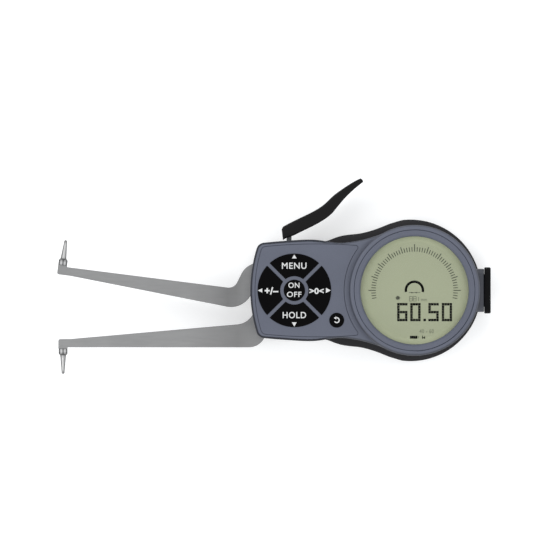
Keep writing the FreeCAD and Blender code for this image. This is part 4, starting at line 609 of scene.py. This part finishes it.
def dots(flat, glyph, x_px, y_px, pitch, size):
    for r, row in enumerate(GLYPH[glyph]):
        for c, mark in enumerate(row):
            if mark == "#":
                x, y = at(x_px + c * pitch, y_px + r * pitch)
                flat.box(x - size / 2, y - size / 2, x + size / 2, y + size / 2)


f = Flat(SEG_LOW, SEG_HIGH)
for glyph, x in (("6", 398.3), ("0", 411.4), ("5", 429.5), ("0", 442.9)):
    dots(f, glyph, x, 304.15, PITCH, 1.11)
x, y = at(424.6, 319.9)
f.box(x - 0.57, y - 0.57, x + 0.57, y + 0.57)
f.make("display_digits", INK, "housing")

f = Flat(SEG_LOW, SEG_HIGH)
for x_px in (409.4, 413.2):
    x0, y1 = at(x_px, 296.4)
    x1, y0 = at(x_px + 2.9, 301.0)
    for a, b in (((x0, y0), (x0, y1)), ((x1, y0), (x1, y1)), ((x0, y1), (x1, y1)), ((x0, y0), (x1, y0)), ((x0, (y0 + y1) / 2), (x1, (y0 + y1) / 2))):
        f.bar(a, b, 0.24)
x0, y1 = at(418.5, 296.9)
x1, y0 = at(418.5, 301.0)
f.bar((x0, y0), (x0, y1), 0.24)
f.make("display_small_digits", INK_FAINT, "housing")
lettering("display_unit", "mm", (421.0, 298.8, 426.9, 301.1), SEG_LOW, SEG_HIGH, INK_FAINT, "housing", 0.0, 1.1)
lettering("display_range", "40 - 60", (419.2, 329.0, 433.8, 333.2), SEG_LOW, SEG_HIGH, INK_PALE, "housing", 0.03, 1.1)

f = Flat(SEG_LOW, SEG_HIGH)
x0, y1 = at(409.85, 335.7)
x1, y0 = at(417.4, 338.55)
for i in range(4):
    w = (x1 - x0) / 4
    f.box(x0 + i * w + 0.02, y0, x0 + (i + 1) * w - 0.02, y1)
f.box(x1 + 0.33, (y0 + y1) / 2 - 0.42, x1 + 0.50, (y0 + y1) / 2 + 0.42)
f.make("display_battery", INK, "housing")
f = Flat(SEG_LOW, SEG_HIGH)
x0, y1 = at(422.4, 335.6)
x1, y0 = at(424.6, 338.75)
f.bar((x0, y0), (x0, y1), 0.36)
f.bar((x0, y1 - 0.95), (x1, y1 - 0.95), 0.44)
f.bar((x1, y1 - 0.25), (x1, y0), 0.34)
f.make("display_lock_mark", INK, "housing")

# ---------------------------------------------------------------- return spring, as a real coil


def sweep(path, radius, sides=10, closed=False):
    """Points and faces of a round wire along a path in mm."""
    verts, faces = [], []
    n = len(path)
    up = Vector((0, 0, 1))
    for i, p in enumerate(path):
        a, b = path[max(i - 1, 0)], path[min(i + 1, n - 1)]
        t = (Vector(b) - Vector(a)).normalized()
        s = t.cross(up)
        if s.length < 1e-4:
            s = Vector((1, 0, 0))
        s.normalize()
        u = s.cross(t).normalized()
        for k in range(sides):
            g = 2 * math.pi * k / sides
            verts.append(tuple(Vector(p) + s * (radius * math.cos(g)) + u * (radius * math.sin(g))))
    for i in range(n - 1):
        for k in range(sides):
            j = (k + 1) % sides
            faces.append((i * sides + k, i * sides + j, (i + 1) * sides + j, (i + 1) * sides + k))
    faces.append(tuple(range(sides)))
    faces.append(tuple((n - 1) * sides + k for k in range(sides - 1, -1, -1)))
    return verts, faces


AX, LEVEL, PEG_Y, POST_Y = -42.0, 8.6, 5.2, -14.4
route = []
for k in range(25):
    g = math.radians(-20 + 290 * k / 24)
    route.append((AX + 1.17 * math.cos(g), PEG_Y + 1.17 * math.sin(g), LEVEL + 0.32 * (1 - k / 24)))
coil_high, coil_end, turns = 3.1, -12.3, 27
route += [(AX, 3.7, LEVEL), (AX, 3.35, LEVEL)]
steps = turns * 18
for k in range(steps + 1):
    g = 2 * math.pi * k / 18
    ease = min(1.0, k / 9.0, (steps - k) / 9.0)
    r = 1.12 * (ease * ease * (3 - 2 * ease))
    route.append((AX + r * math.sin(g), coil_high + (coil_end - coil_high) * k / steps, LEVEL + r * math.cos(g)))
route += [(AX, -12.55, LEVEL), (AX, -12.85, LEVEL)]
for k in range(25):
    g = math.radians(90 + 290 * k / 24)
    route.append((AX + 1.27 * math.cos(g), POST_Y + 1.27 * math.sin(g), LEVEL + 0.32 * k / 24))
v, fs = sweep(route, 0.2, 8)
coil = piece("return_spring_coil", v, fs, LOOK["spring_steel"], "housing", True, 60)
coil.parent = None
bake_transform(coil)
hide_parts("return_spring")

# ---------------------------------------------------------------- floor, light, camera

me = bpy.data.meshes.new("floor")
bm = bmesh.new()
bmesh.ops.create_grid(bm, x_segments=8, y_segments=8, size=1.5)
bm.to_mesh(me)
bm.free()
floor = bpy.data.objects.new("floor", me)
floor.location = (-0.06, 0.005, -0.0002)
bpy.context.collection.objects.link(floor)
m = Nodes("floor_look")
soft = m.noise(3.0, 2.0, 0.5)
m.put(Base_Color=m.ramp(soft, [(0.3, (0.655, 0.655, 0.655)), (0.7, (0.67, 0.67, 0.67))]), Roughness=0.75, Specular_IOR_Level=0.1,
      Emission_Color=(1.0, 1.0, 1.0), Emission_Strength=0.47)
me.materials.append(m.mat)

world = bpy.data.worlds.new("studio")
bpy.context.scene.world = world
world.use_nodes = True
world.node_tree.nodes["Background"].inputs[0].default_value = (0.93, 0.965, 1.0, 1)
world.node_tree.nodes["Background"].inputs[1].default_value = 0.70


def lamp(name, place, aim, size, watts, tint=(1, 1, 1)):
    li = bpy.data.lights.new(name, "AREA")
    li.shape = "DISK"
    li.size = size
    li.energy = watts
    li.color = tint
    o = bpy.data.objects.new(name, li)
    o.location = place
    o.rotation_euler = (Vector(aim) - Vector(place)).to_track_quat("-Z", "Y").to_euler()
    bpy.context.collection.objects.link(o)
    return o


for k, watts in enumerate((1.3, 1.5, 2.2, 2.2, 1.4, 1.3)):
    g = math.radians(15 + 60 * k)
    lamp("softbox_%d" % (k + 1), (-0.06 + 0.68 * math.cos(g), 0.68 * math.sin(g), 0.86), (-0.06, 0, 0), 0.5, watts)

cam = bpy.data.cameras.new("camera")
cam.type = "ORTHO"
cam.ortho_scale = 0.2534
cam.clip_start, cam.clip_end = 0.01, 5
camera = bpy.data.objects.new("camera", cam)
camera.location = (-0.0609, 0.0047, 0.6)
bpy.context.collection.objects.link(camera)
bpy.context.scene.camera = camera

bpy.context.scene.view_settings.view_transform = "Standard"
bpy.context.scene.view_settings.look = "None"
